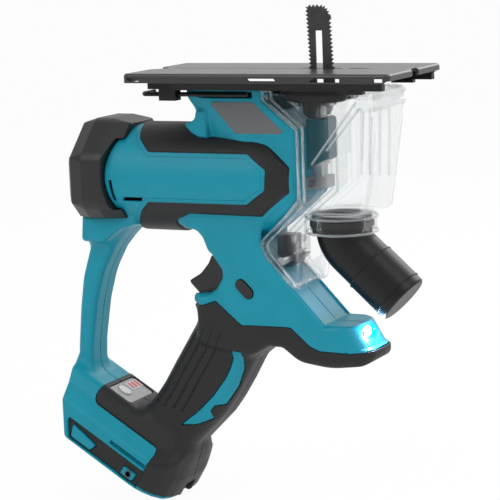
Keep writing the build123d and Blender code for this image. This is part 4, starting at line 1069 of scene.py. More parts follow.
@dataclass
class Shell:
    """Clamshell housing: head, barrel, body, grip and strut, with the battery foot."""

    foot: Foot = field(default_factory=Foot)
    axis_z: float = -76.0
    wall: float = 3.0
    rear_limit: float = -198.8
    barrel_radius: float = 36.5
    barrel_ends: Pair = (-145.0, -10.5)
    taper_from: float = -32.0
    taper: float = 25.0
    throat: Edge = Edge((-8.5, -85.0), (0.696, -0.718))
    ear_reach: float = 8.5
    ear_overlap: float = 6.0
    ear_radius: float = 54.0
    ear_height: Span = Span(-71.7, 24.2)
    head_half: float = 26.0
    head: Corners = (
        (-93.5, -11, 2.5), (-33, -11, 1), (-33, -19.3, 2.5), (-8.5, -39.8, 5), (-8.5, -85, 5),
        (-40.5, -116, 5), (-70, -116, 5), (-88, -96, 5), (-88, -26, 6), (-93.5, -18.5, 4),
    )
    neck_half: float = 25.0
    neck_lip: Corners = (
        (-86, -26, 4), (-86.5, -33.5, 5), (-95.5, -36.5, 1.5), (-90, -42.5, 3), (-84, -45.8, 3),
        (-77, -46.2, 1), (-77, -28, 1),
    )
    facet_edge: Edge = Edge((-75.0, -20.0), (-0.76, -0.65))
    facet_slope: float = 0.42
    body_half: float = 24.5
    lower: Corners = (
        (-97, -91, 0), (-102, -103.5, 5), (-97.5, -107.8, 5), (-89.5, -110, 8), (-84.5, -115.5, 8),
        (-81, -124.5, 8), (-77.8, -127, 3), (-70, -138, 6), (-70, -143.5, 7), (-75.5, -152.3, 7),
        (-82, -156.3, 4), (-90, -157, 1), (-90, -190, 6), (-51, -197, 8), (-37, -189, 6), (-26, -189, 8),
        (-13, -198.6, 20), (10.4, -201.6, 60), (33, -198.6, 14), (44.5, -191.6, 5), (44.5, -173.3, 0),
        (6, -173.5, 1.5), (-16.5, -149.6, 30), (-37.4, -127.6, 6), (-41, -118, 6), (-40.5, -86, 0),
    )
    nose: Corners = (
        (-160, -24.5, 0), (8, -24.5, 10), (25.2, -20, 13), (27, 0, 40), (25.2, 20, 13), (8, 24.5, 10),
        (-160, 24.5, 0),
    )
    nose_lean: float = 0.6
    nose_heights: Pair = (-189.0, -168.0)
    chin_top: float = -188.0
    chin_rise: float = 2.0
    chin_proud: float = 3.0
    visor_z: float = -173.4
    ramp: Edge = Edge((6.0, -173.5), (0.727, 0.686))
    ramp_depth: float = 1.4
    ramp_rim: float = 4.0
    scoop: Triple = (29.5, 0.0, -180.0)
    scoop_radii: Triple = (6.0, 13.0, 5.2)
    scoop_top: float = -174.9
    lip_half: float = 17.0
    lip: Corners = (
        (-78, -157.6, 0), (-95.2, -157.2, 1.2), (-96, -161, 1.5), (-93, -164.2, 1.5), (-78, -164.6, 0),
    )
    grip_half: float = 19.0
    grip: Corners = (
        (-86, -160, 1), (-98, -164.6, 1.5), (-94.4, -173.4, 9), (-98, -181, 20), (-106.5, -194.5, 60),
        (-116, -209.5, 60), (-124.5, -223.5, 60), (-133, -235, 40), (-150, -252, 4), (-112, -284, 4),
        (-104.5, -268, 20), (-94, -257.5, 30), (-81.5, -245.2, 40), (-73, -233.5, 40), (-64.5, -220, 40),
        (-57.5, -207.5, 30), (-50.5, -196, 10), (-40, -184, 10), (-40, -165, 2),
    )
    strut_half: float = 13.0
    strut: Corners = (
        (-179, -108, 1), (-183, -127, 40), (-190.5, -150, 60), (-194, -172, 80), (-197, -200, 80),
        (-198.5, -224, 80), (-199, -246, 1), (-176, -246, 1), (-186.5, -224, 8), (-185, -198, 60),
        (-180, -169, 60), (-173.5, -147, 60), (-159, -121, 30), (-150, -108, 1),
    )
    saddle_half: float = 25.0
    saddle: Corners = (
        (-181, -103.5, 2), (-138, -101, 0), (-136, -108, 0), (-150, -112, 6), (-164, -122, 8),
        (-182.5, -122, 3),
    )
    tower_half: float = 10.5
    tower: Corners = ((-8.6, -33, 0), (4.8, -33, 1.2), (4.8, -61, 1.2), (-8.6, -68, 0))
    tower_room_half: float = 9.3
    tower_room: Corners = ((-20, -30, 0), (3.7, -30, 0), (3.7, -90, 0), (-20, -90, 0))
    pad: Corners = (
        (-139, -38.5, 1), (-136, -30, 1), (-86, -30, 1), (-81, -44, 4), (-33, -44.5, 3), (-13, -64, 2),
        (-13, -82, 2), (-34.5, -99.5, 3), (-90, -99, 5), (-101, -104, 4), (-104, -118, 1), (-139, -118, 1),
        (-139, -110, 2), (-129, -96.5, 4), (-120.5, -89, 4), (-44, -88.7, 3), (-30.5, -79, 2),
        (-30, -66.5, 2), (-43.5, -56.7, 3), (-120.5, -56.7, 4), (-131.5, -47.8, 4), (-136.5, -41, 3),
    )
    pad_proud: float = 2.0
    pad_bevel: float = 2.6
    pad_sunk: float = 1.2
    rim_proud: float = 0.45
    rim_width: float = 1.7
    rim_sunk: float = 0.8
    rim_under: float = 1.5
    skin: float = 1.6
    rubber_proud: float = 0.6
    rubber_gap: float = 0.12
    rubber_lift: float = 0.1
    soft: Corners = (
        (-125, -164.6, 0), (-99, -164.4, 1), (-86, -163, 6), (-75.5, -159.4, 2), (-56, -175.5, 2),
        (-18.5, -175, 5), (-4, -187.5, 6), (3, -190.3, 6), (27, -191, 6), (60, -187.5, 0), (60, -215, 0),
        (-40, -215, 20), (-80, -300, 0), (-170, -300, 0),
    )
    sliver: Corners = (
        (-65.5, -194.6, 0.5), (-58, -195, 0.5), (-59.5, -208, 20), (-66, -222, 20), (-75.5, -235.4, 1),
        (-82.5, -236.2, 1), (-86, -240, 1), (-85, -246, 1), (-96, -250.5, 10), (-110.5, -252.4, 0.5),
        (-96, -241.6, 30), (-83, -229, 40), (-71, -213.5, 40), (-66.5, -203, 20),
    )
    soft_low: float = 40.0
    wrap_front: float = 66.5
    wrap_low: float = 3.4
    wrap_half: float = 28.4
    wrap_hip: float = 29.0
    wrap_rear: float = 3.0
    wrap_top: float = 46.0
    panel_depth: float = 2.2
    panel_run: Pair = (-2.6, 66.8)
    panel_height: Pair = (1.9, 15.9)
    panel_side: float = 30.0
    panel_rear: float = 4.2
    panel_patch: Corners = ((2, 13.1, 0.8), (25.3, 9.7, 0.8), (22.8, 3.9, 0.6), (5, 3.9, 1.5))
    panel_tab: Corners = ((51.4, 10.2, 1), (62.8, 10.2, 1), (61.4, 3.9, 1), (51, 3.9, 1))
    # black overmould filled deep into the latch notch: painted shade for the notch's dark depth
    shade_liner_from: float = 80.0
    shade_liner_half: float = 9.5
    shade_liner_height: Pair = (0.2, 18.0)
    shade_liner_deep: float = 9.0
    grip_rear: Corners = (
        (-60, -100, 0), (-98, -181, 20), (-106.5, -194.5, 60), (-116, -209.5, 60), (-124.5, -223.5, 60),
        (-133, -235, 40), (-180, -282, 0), (80, -340, 0), (80, -100, 0),
    )
    grooves: tuple[float, ...] = (4.5, 10.5, 17.0, 23.5)
    groove_half: float = 0.5
    groove_deep: float = 0.7
    groove_run: Span = Span(-210.0, 30.0)
    groove_slant: float = -0.25
    groove_middle: float = 14.0
    lock: Corners = ((-61.1, -147.4, 4.1), (-55.3, -141.5, 4.1), (-44.1, -152.7, 4.1), (-50, -158.5, 4.1))
    pocket_run: Span = Span(-86.0, 30.0)
    pocket_half: float = 14.3
    pocket_height: Span = Span(-144.8, 15.6)
    key_y: float = -25.0
    key_height: Span = Span(-15.8, 2.2)
    key_front: float = -41.0
    ear_vent: Span = Span(-149.3, 1.2)
    ear_vent_height: Span = Span(-82.5, 7.2)
    ear_vent_bow: float = 0.006
    ear_vent_bow_z: float = -71.0
    flat_vent: Span = Span(-132.8, 7.6)
    flat_vent_height: Span = Span(-88.5, 1.3)
    flat_vent_slant: float = 0.4
    vent_side: float = 30.0
    lamp_z: float = -179.8
    lamp_radius: float = 4.9
    lamp_from: float = 21.5
    crank_z: float = -54.0
    crank_radius: float = 6.6
    crank_run: Pair = (-20.0, 0.0)
    label: Corners = ((-74.6, -20.4, 2), (-40.4, -20.6, 2), (-15.6, -42.4, 2), (-54.2, -42.5, 2))
    label_half: float = 0.45
    label_sunk: float = 0.3
    shell_grid: Room = ((-200, -39.5, -312), (46, 0, -10))
    soft_grid: Room = ((-200, -40, -312), (46, 0, -155))
    rim_grid: Room = ((-146, -38, -116), (-10, 0, -36))
    pad_grid: Room = ((-146, -39, -116), (-10, 0, -36))
    cover_grid: Room = ((-9, -11, -69), (5.5, 11, -32))
    label_grid: Room = ((-76, -27, -44), (-14, -25, -19))

    def barrel(self, at: Place) -> Array:
        """Shape of the motor barrel with its tapered front, cut back along the throat.

        Args:
            at: places of the points.

        Returns:
            The distances.
        """
        lean = math.radians(self.taper)
        out = away(at.y, at.z - self.axis_z) - self.barrel_radius
        cone = out * math.cos(lean) + (at.x - self.taper_from) * math.sin(lean)
        ends = np.maximum(between(at.x, *self.barrel_ends), self.throat.off(at.x, at.z))
        return round_max(round_max(out, cone, radius=3.0), ends, radius=1.5)

    def ear_zone(self, at: Place) -> Array:
        """Shape of the ears' outline, endless to both sides.

        Args:
            at: places of the points.

        Returns:
            The distances.
        """
        centre = self.barrel_ends[0] - self.ear_reach + self.ear_radius
        disc = away(at.x - centre, at.z - self.ear_height.middle) - self.ear_radius
        return np.maximum(disc, self.ear_height.off(at.z))

    def ears(self, at: Place) -> Array:
        """Shape of the side ears that run back from the barrel into the cap.

        Args:
            at: places of the points.

        Returns:
            The distances.
        """
        out = away(at.y, at.z - self.axis_z) - self.barrel_radius
        zone = np.maximum(self.ear_zone(at), at.x - self.barrel_ends[0] - self.ear_overlap)
        return round_max(hollowed(out, self.wall), zone, radius=0.8)

    def neck(self, at: Place) -> Array:
        """Shape of the head with the slanted facet behind its side panel.

        Args:
            at: places of the points.

        Returns:
            The distances.
        """
        behind = self.facet_edge.off(at.x, at.z)
        facet = (np.abs(at.y) - self.head_half + self.facet_slope * behind) / math.hypot(1, self.facet_slope)
        block = round_max(slab(at, self.head, self.head_half, edge=3.0), facet, radius=1.5)
        return round_min(block, slab(at, self.neck_lip, self.neck_half, edge=2.5), radius=3.0)

    def body(self, at: Place) -> Array:
        """Shape of the body between barrel and grip, with its leaning nose, ramp and lamp scoop.

        Args:
            at: places of the points.

        Returns:
            The distances.
        """
        x, y, z = at
        lean = self.nose_lean * (self.visor_z - np.clip(z, *self.nose_heights))
        chin = self.chin_proud * np.clip((self.chin_top - z) / self.chin_rise, 0, 1)
        plan = flat(self.nose, x - lean - chin, y)
        across = np.abs(y) - self.body_half + self.ramp_rim
        ramp = overlap(-self.ramp_depth - self.ramp.off(x, z), self.visor_z - z, across)
        scoop = np.maximum(ball(at, self.scoop, self.scoop_radii), z - self.scoop_top)
        whole = round_max(slab(at, self.lower, self.body_half, edge=5.0), plan, radius=1.2)
        return round_max(round_max(whole, -ramp, radius=0.8), -scoop, radius=0.8)

    def outside(self, at: Place) -> Array:
        """Shape of the whole housing's outside, without its cuts.

        Args:
            at: places of the points.

        Returns:
            The distances.
        """
        top = round_min(self.barrel(at), self.neck(at), radius=2.0)
        handle = round_min(self.body(at), slab(at, self.grip, self.grip_half, edge=11.0), radius=7.0)
        handle = round_min(handle, slab(at, self.lip, self.lip_half, edge=1.6), radius=2.0)
        strut = slab(at, self.strut, self.strut_half, edge=4.5)
        arm = round_min(slab(at, self.saddle, self.saddle_half, edge=3.0), strut, radius=9.0)
        rear = round_min(arm, round_min(self.foot.block(at), handle, radius=8.0), radius=7.0)
        whole = round_min(round_min(top, handle, radius=7.0), rear, radius=3.0)
        return round_max(whole, self.rear_limit - at.x, radius=1.0)

    def soft_rooms(self, at: Place) -> list[SoftRoom]:
        """Rooms of the overmould: on grip, nose and foot, the foot's side panels, and a deep block of black
        rubber in the foot's front latch notch, painted shade for the notch's dark depth.

        Args:
            at: places of the points.

        Returns:
            The rooms.
        """
        p, n = self.foot.axes(at)
        side = np.abs(at.y)
        around = np.maximum(self.wrap_front - p, self.wrap_low - n)
        top = np.maximum(side - self.wrap_half, self.wrap_hip - n)
        top = round_max(top, self.wrap_rear - p, radius=6.0)
        foot = np.maximum(round_min(around, top, radius=5.0), n - self.wrap_top)
        flank = overlap(flat(self.soft, at.x, at.z), -flat(self.sliver, at.x, at.z), self.soft_low - n)
        panel = overlap(
            between(p, *self.panel_run), between(n, *self.panel_height), self.panel_side - side,
            self.foot.x + self.panel_rear - at.x, -flat(self.panel_patch, p, n), -flat(self.panel_tab, p, n),
        )
        # black rubber lining of the latch notch, painted shade
        shade_liner = overlap(self.shade_liner_from - p, side - self.shade_liner_half, between(n, *self.shade_liner_height))
        return [
            SoftRoom(np.minimum(flank, foot), self.skin, self.rubber_proud),
            SoftRoom(panel, self.skin + self.panel_depth, -self.panel_depth),
            SoftRoom(shade_liner, self.shade_liner_deep, self.rubber_proud),
        ]

    def cuts(self, at: Place) -> Array:
        """Shape of the rooms for trigger, lock button, hex key, vents, lamp and crank, and the foot's.

        Args:
            at: places of the points.

        Returns:
            The distances.
        """
        x, y, z = at
        side = np.abs(y)
        bow = self.ear_vent_bow * (z - self.ear_vent_bow_z) ** 2
        ear_vent = np.maximum(self.ear_vent.off(x, bow), self.ear_vent_height.off(z))
        slant = self.flat_vent_slant * (z - self.flat_vent_height.middle)
        flat_vent = np.maximum(self.flat_vent.off(x, slant), self.flat_vent_height.off(z))
        hole = away(y - self.key_y, z - self.key_height.middle) - self.key_height.half
        key = np.minimum(hole, np.maximum(y - self.key_y, self.key_height.off(z)))
        crank = away(y, z - self.crank_z) - self.crank_radius
        return union(
            overlap(self.pocket_run.off(x), side - self.pocket_half, self.pocket_height.off(z)),
            np.maximum(key, x - self.key_front),
            np.maximum(np.minimum(ear_vent, flat_vent), self.vent_side - side),
            np.maximum(away(y, z - self.lamp_z) - self.lamp_radius, self.lamp_from - x),
            flat(self.lock, x, z),
            np.maximum(crank, between(x, *self.crank_run)),
            self.foot.rooms(at),
        )

    def teal(self, at: Place) -> Array:
        """Shape of the plastic shell, less its cuts and what the overmould covers.

        Args:
            at: places of the points.

        Returns:
            The distances.
        """
        skin = self.outside(at)
        cut = skin
        for room in self.soft_rooms(at):
            cut = np.maximum(cut, -np.maximum(room.zone, -skin - room.deep))
        walls = np.minimum(hollowed(cut, self.wall), self.ears(at))
        return round_max(walls, -self.cuts(at), radius=0.4)

    def rubber(self, at: Place) -> Array:
        """Shape of the soft overmould, with the long grooves on the grip.

        Args:
            at: places of the points.

        Returns:
            The distances.
        """
        skin = self.outside(at)
        behind = -flat(self.grip_rear, at.x, at.z)
        lines = union(*(np.abs(behind - groove) for groove in self.grooves)) - self.groove_half
        slant = self.groove_slant * (behind - self.groove_middle)
        lines = np.maximum(lines, self.groove_run.off(at.z, slant))
        layers = []
        for room in self.soft_rooms(at):
            cover = skin - room.proud
            cover = round_max(cover, -np.maximum(lines, -cover - self.groove_deep), radius=0.3)
            cover = np.maximum(cover, -skin - room.deep + self.rubber_lift)
            layers.append(round_max(cover, room.zone + self.rubber_gap, radius=0.6))
        return np.maximum(union(*layers), -self.cuts(at))

    def pads(self, at: Place) -> Array:
        """Shape of the soft pads on the barrel, bevelled down to the bare panel.

        Args:
            at: places of the points.

        Returns:
            The distances.
        """
        skin = self.barrel(at)
        cover = bevel_max(skin - self.pad_proud, flat(self.pad, at.x, at.z), self.pad_bevel)
        return np.maximum(cover, -skin - self.pad_sunk)

    def rim(self, at: Place) -> Array:
        """Shape of the low rim round the barrel's pads.

        Args:
            at: places of the points.

        Returns:
            The distances.
        """
        skin, region = self.barrel(at), flat(self.pad, at.x, at.z)
        cover = round_max(skin - self.rim_proud, region - self.rim_width, radius=0.3)
        return overlap(cover, -skin - self.rim_sunk, -region - self.rim_under)

    def plunger_cover(self, at: Place) -> Array:
        """Shape of the cover round the plunger in front of the head, open at its lower end."""
        room = slab(at, self.tower_room, self.tower_room_half)
        return np.maximum(slab(at, self.tower, self.tower_half, edge=0.8), -room)

    def plate(self, at: Place) -> Array:
        """Shape of the bare label on the near side of the head."""
        skin = Span(-self.head_half, self.label_half).off(at.y, self.label_sunk)
        return round_max(flat(self.label, at.x, at.z), skin, radius=0.1)

    def build(self, shop: Workshop) -> None:
        """Make the shell, its overmould, its rims and pads, the plunger cover and the label.

        Args:
            shop: makes the pieces.
        """
        teal, soft = (Palette.TEAL, "teal_shell"), (Palette.RUBBER, "soft_grip")
        shop.cast(
            Piece("shell", *teal, self.shell_grid, step=0.9, nodes=("housing",), keep=0.25, seam=0.5),
            self.teal,
        )
        shop.cast(
            Piece("grip_cover", *soft, self.soft_grid, step=0.8, nodes=("grip_rubber",), seam=0.4),
            self.rubber,
        )
        shop.cast(Piece("barrel_rim", *teal, self.rim_grid, step=0.5, seam=0.2), self.rim)
        shop.cast(
            Piece("barrel_cover", *soft, self.pad_grid, step=0.7, nodes=("barrel_pad",), seam=0.4),
            self.pads,
        )
        # the plunger cover wears the darker teal, painted shade of the head's shadowed inside
        cover = Piece("plunger_cover", Palette.SHADED_TEAL, "teal_shell", self.cover_grid, step=0.5)
        shop.cast(cover, self.plunger_cover)
        label = Piece("bare_label", Palette.LABEL, "trim_plastic", self.label_grid, step=0.5)
        shop.cast(label, self.plate)


@dataclass
class Cap:
    """Cap over the motor's rear end, cut round the ears of the housing that it closes."""

    shell: Shell
    seat: float = -103.5
    facet: float = 42.0
    wall: float = 3.0
    band_half: float = 15.0
    band_x: float = -187.6
    ear_gap: float = 0.35
    ear_inside: float = 33.0
    profile: Corners = (
        (-142, 0, 0), (-142, 38.9, 1), (-157, 42.2, 2), (-169, 42.2, 2), (-180, 38.6, 3), (-190, 24, 4),
        (-190, 0, 0),
    )
    grid: Room = ((-191, -45, -105), (-141, 45, -30))

    def cover(self, at: Place) -> Array:
        """Shape of the cap.

        Args:
            at: places of the points.

        Returns:
            The distances.
        """
        side, above = np.abs(at.y), np.abs(at.z - self.shell.axis_z)
        corner = round_max(side - self.facet, above - self.facet, radius=3.0)
        slant = (side + above) * math.sqrt(0.5) - self.facet
        whole = flat(self.profile, at.x, round_max(corner, slant, radius=3.0) + self.facet)
        band = np.maximum(above - self.band_half, at.x - self.band_x)
        inside = self.ear_inside - away(at.y, at.z - self.shell.axis_z)
        ear = np.maximum(self.shell.ear_zone(at) - self.ear_gap, inside)
        whole = round_max(round_max(whole, -band, radius=1.0), -ear, radius=1.2)
        return hollowed(round_max(whole, self.seat - at.z, radius=1.0), self.wall)

    def build(self, shop: Workshop) -> None:
        """Make the cap.

        Args:
            shop: makes the piece.
        """
        black = (Palette.BLACK, "black_shell")
        cap = Piece("rear_cap_cover", *black, self.grid, step=0.8, nodes=("rear_cap",), keep=0.4)
        shop.cast(cap, self.cover)


@dataclass
class DustBox:
    """Clear dust box: walls, flange towards the head, ribs, collar, chin and latch post."""

    half: float = 28.0
    wall: float = 1.8
    chin_half: float = 22.0
    chin_top: float = -86.0
    chin_fade: float = 12.0
    open_reach: float = 7.0
    collar: Pair = (11.5, 0.0)
    collar_radius: float = 24.3
    collar_ends: Pair = (-111.5, -97.0)
    bore: float = 16.0
    bore_ends: Pair = (-130.0, -94.0)
    seat: float = 22.1
    seat_ends: Pair = (-130.0, -98.01)
    post: Pair = (-15.5, -12.0)
    post_radius: float = 2.0
    post_ends: Pair = (-146.5, -111.0)
    knob_radius: float = 5.0
    knob_ends: Pair = (-117.5, -112.5)
    opening: Room = ((-22, -20, -18), (22, 20, -8))
    box: Corners = (
        (-8.2, -98, 0), (38.5, -98, 6), (48.5, -34, 20), (48.5, -12.4, 3), (-32.7, -12.4, 0),
        (-32.7, -19, 0.5), (-8.2, -39.5, 2),
    )
    chin: Corners = (
        (-8.2, -86, 0), (-39.8, -116.2, 5), (-40.4, -120, 4), (-36.6, -127.4, 4), (-17.3, -148.3, 1),
        (-9, -148.3, 4), (-8, -136, 2), (-6, -98, 0),
    )
    flange: Corners = (
        (-32.7, -12.4, 0), (-32.7, -19, 0.5), (-8.2, -39.5, 2), (-8.2, -86, 2), (-39.8, -116.2, 5),
        (-40.4, -120, 4), (-36.6, -127.4, 4), (-17.3, -148.3, 1), (-11.5, -148.3, 0), (-31.8, -126, 3),
        (-34.6, -120.5, 3), (-34, -117.5, 3), (-2.8, -88, 2), (-2.8, -37, 2), (-25.2, -18.2, 0.5),
        (-25.2, -12.4, 0),
    )
    flange_lines: tuple[Span, ...] = (Span(-0.6, 0.6), Span(-3.5, 0.45))
    flange_proud: float = 0.7
    flange_depth: float = 2.0
    swell: float = 1.3
    swell_wave: float = 0.9
    swell_from: float = -15.5
    swell_pitch: float = 7.4
    swell_height: Span = Span(-19.2, 7.2)
    swell_x: float = 36.0
    swell_sunk: float = 1.0
    rib_y: float = 27.1
    near_ribs: tuple[tuple[Triple, Triple, float], ...] = (
        ((35.6, -27.1, -20.6), (2.9, -27.1, -61.8), 0.8), ((38.5, -27.1, -24.2), (14.4, -27.1, -52.2), 0.8),
        ((41.5, -27.1, -27), (39.4, -27.1, -59), 0.6), ((46.2, -24.6, -30), (43.4, -24.6, -67), 0.6),
    )
    far_ribs: tuple[float, ...] = (16.5, 22.8, 30.1, 37.1)
    far_rib_ends: Pair = (-30.0, -75.0)
    far_rib_lean: float = 1.5
    far_rib_radius: float = 0.9
    rim_lows: Pair = (-111.5, -101.2)
    rim_height: float = 1.8
    rim_radii: Pair = (25.3, 23.9)
    rim_room: float = 5.0
    wall_grid: Room = ((-41, -28.5, -149), (49, 28.5, -12))
    grip_grid: Room = ((35, -31, -27), (51.5, 31, -11.5))
    edge_grid: Room = ((-41, -29, -149), (50, 29, -12))

    def block(self, at: Place) -> Array:
        """Shape of the filled box without its chin."""
        return slab(at, self.box, self.half, edge=4.0)

    def filled(self, at: Place) -> Array:
        """Shape of the filled box with its chin."""
        return round_min(self.block(at), slab(at, self.chin, self.chin_half, edge=2.5), radius=2.0)

    def walls(self, at: Place) -> Array:
        """Shape of the thin walls, open towards the head, with the collar and the post.

        Args:
            at: places of the points.

        Returns:
            The distances.
        """
        skin = self.filled(at)
        room = np.minimum(skin, self.filled(at._replace(x=at.x + self.open_reach))) + self.wall
        ring = upright(at, self.collar, self.collar_radius, *self.collar_ends)
        bore = upright(at, self.collar, self.bore, *self.bore_ends)
        seat = upright(at, self.collar, self.seat, *self.seat_ends)
        shell = np.minimum(np.maximum(skin, -room), ring)
        whole = np.maximum(shell, -union(bore, seat, brick(at, *self.opening, edge=1.0)))
        post = upright(at, self.post, self.post_radius, *self.post_ends)
        return union(whole, post, upright(at, self.post, self.knob_radius, *self.knob_ends))

    def grips(self, at: Place) -> Array:
        """Shape of the ribbed finger grip round the top of the front wall.

        Args:
            at: places of the points.

        Returns:
            The distances.
        """
        turn = (at.z - self.swell_from) * (2 * math.pi / self.swell_pitch)
        swell = self.swell + self.swell_wave * np.cos(turn)
        skin = self.block(at)
        band = overlap(self.swell_height.off(at.z), self.swell_x - at.x, -skin - self.swell_sunk)
        return round_max(skin - swell, band, radius=0.8)

    def edges(self, at: Place) -> Array:
        """Shape of the double flange along the head, the ribs on the side walls and the collar's rims.

        Args:
            at: places of the points.

        Returns:
            The distances.
        """
        fade = np.clip((self.chin_top - at.z) / self.chin_fade, 0, 1)
        half = self.half - (self.half - self.chin_half) * fade
        inside = flat(self.flange, at.x, at.z)
        lines = union(*(line.off(inside) for line in self.flange_lines))
        side = np.abs(at.y)
        band = np.maximum(side - half - self.flange_proud, half - self.flange_depth - side)
        whole = round_max(lines, band, radius=0.3)
        for start, end, radius in self.near_ribs:
            whole = np.minimum(whole, rod(at, start, end, radius))
        top, bottom = self.far_rib_ends
        for x in self.far_ribs:
            end = (x - self.far_rib_lean, self.rib_y, bottom)
            whole = np.minimum(whole, rod(at, (x, self.rib_y, top), end, self.far_rib_radius))
        outer, inner = self.rim_radii
        for low in self.rim_lows:
            rim = upright(at, self.collar, outer, low, low + self.rim_height, edge=0.6)
            room = upright(at, self.collar, inner, low - self.rim_room, low + self.rim_room)
            whole = np.minimum(whole, np.maximum(rim, -room))
        return whole

    def build(self, shop: Workshop) -> None:
        """Make the walls, the finger grip and the edges.

        Args:
            shop: makes the pieces.
        """
        clear, edge = (Palette.CLEAR, "clear_box"), (Palette.EDGE, "clear_box")
        shop.cast(
            Piece("box_walls", *clear, self.wall_grid, step=0.7, nodes=("dust_box",), body="box_body"),
            self.walls,
        )
        shop.cast(Piece("box_grips", *clear, self.grip_grid, step=0.5, body="box_body"), self.grips)
        shop.cast(Piece("box_edges", *edge, self.edge_grid, step=0.5, body="box_body"), self.edges)


@dataclass
class Controls:
    """Trigger, lamp dome and the marks of the gauge on the foot."""

    foot: Foot
    trigger_half: float = 13.9
    trigger: Corners = (
        (-68.5, -130.5, 0), (-83.5, -129.6, 1.5), (-86.2, -135.4, 8), (-92.5, -142.8, 12), (-98.7, -146.5, 6),
        (-101.5, -148.3, 1.2), (-100.8, -150.2, 1), (-94.6, -156.5, 1), (-94.2, -159.6, 1),
        (-68.5, -159.6, 0),
    )
    trigger_room: Room = ((-79, -12.5, -170), (-50, 12.5, -120))
    dome_at: Triple = (25.8, 0.0, -179.8)
    dome_radii: Triple = (4.6, 6.2, 4.7)
    window_run: Pair = (9.0, 17.0)
    window_across: Pair = (2.0, 17.0)
    bar_places: tuple[float, ...] = (5.2, 9.5, 13.8)
    bar_half: float = 1.3
    bar_inset: float = 0.9
    bar_proud: float = 0.3
    film_top: float = 43.35
    film_depth: float = 0.6
    lever_grid: Room = ((-103, -14, -160.5), (-63, 14, -128))
    dome_grid: Room = ((20.5, -7, -185), (31, 7, -174.5))
    gauge_grid: Room = ((-180, 1, -242), (-158, 18, -220))

    def lever(self, at: Place) -> Array:
        """Shape of the trigger, with room for its spring."""
        room = brick(at, *self.trigger_room, edge=0.5)
        return np.maximum(slab(at, self.trigger, self.trigger_half, edge=1.8), -room)

    def dome(self, at: Place) -> Array:
        """Shape of the lamp's dome."""
        return ball(at, self.dome_at, self.dome_radii)

    def film(self, at: Place, across: Array, inset: float, top: float) -> Array:
        """Shape of a thin film on the gauge's panel.

        Args:
            at: places of the points.
            across: distances to the film across the foot.
            inset: how far inside the window it starts and ends along the slope.
            top: its upper side, square to the slope.

        Returns:
            The distances.
        """
        p, n = self.foot.axes(at)
        start, end = self.window_run
        return overlap(start + inset - p, p - end + inset, across, n - top, top - self.film_depth - n)

    def window(self, at: Place) -> Array:
        """Shape of the gauge's window."""
        return self.film(at, between(at.y, *self.window_across), 0.0, self.film_top)

    def bars(self, at: Place) -> Array:
        """Shape of the gauge's bars."""
        across = union(*(np.abs(at.y - bar) for bar in self.bar_places)) - self.bar_half
        return self.film(at, across, self.bar_inset, self.film_top + self.bar_proud)

    def build(self, shop: Workshop) -> None:
        """Make the trigger, the dome and the marks.

        Args:
            shop: makes the pieces.
        """
        trim = "trim_plastic"
        lever = Piece(
            "trigger_face", Palette.TRIM, trim, self.lever_grid, step=0.6, nodes=("trigger",),
            body="trigger_body",
        )
        shop.cast(lever, self.lever)
        dome = Piece("led_dome", Palette.LENS, "lamp_lens", self.dome_grid, step=0.4, nodes=("led_lens",))
        shop.cast(dome, self.dome)
        shop.cast(Piece("gauge_window", Palette.WHITE, trim, self.gauge_grid, step=0.3), self.window)
        shop.cast(Piece("gauge_bars", Palette.RED, trim, self.gauge_grid, step=0.3), self.bars)


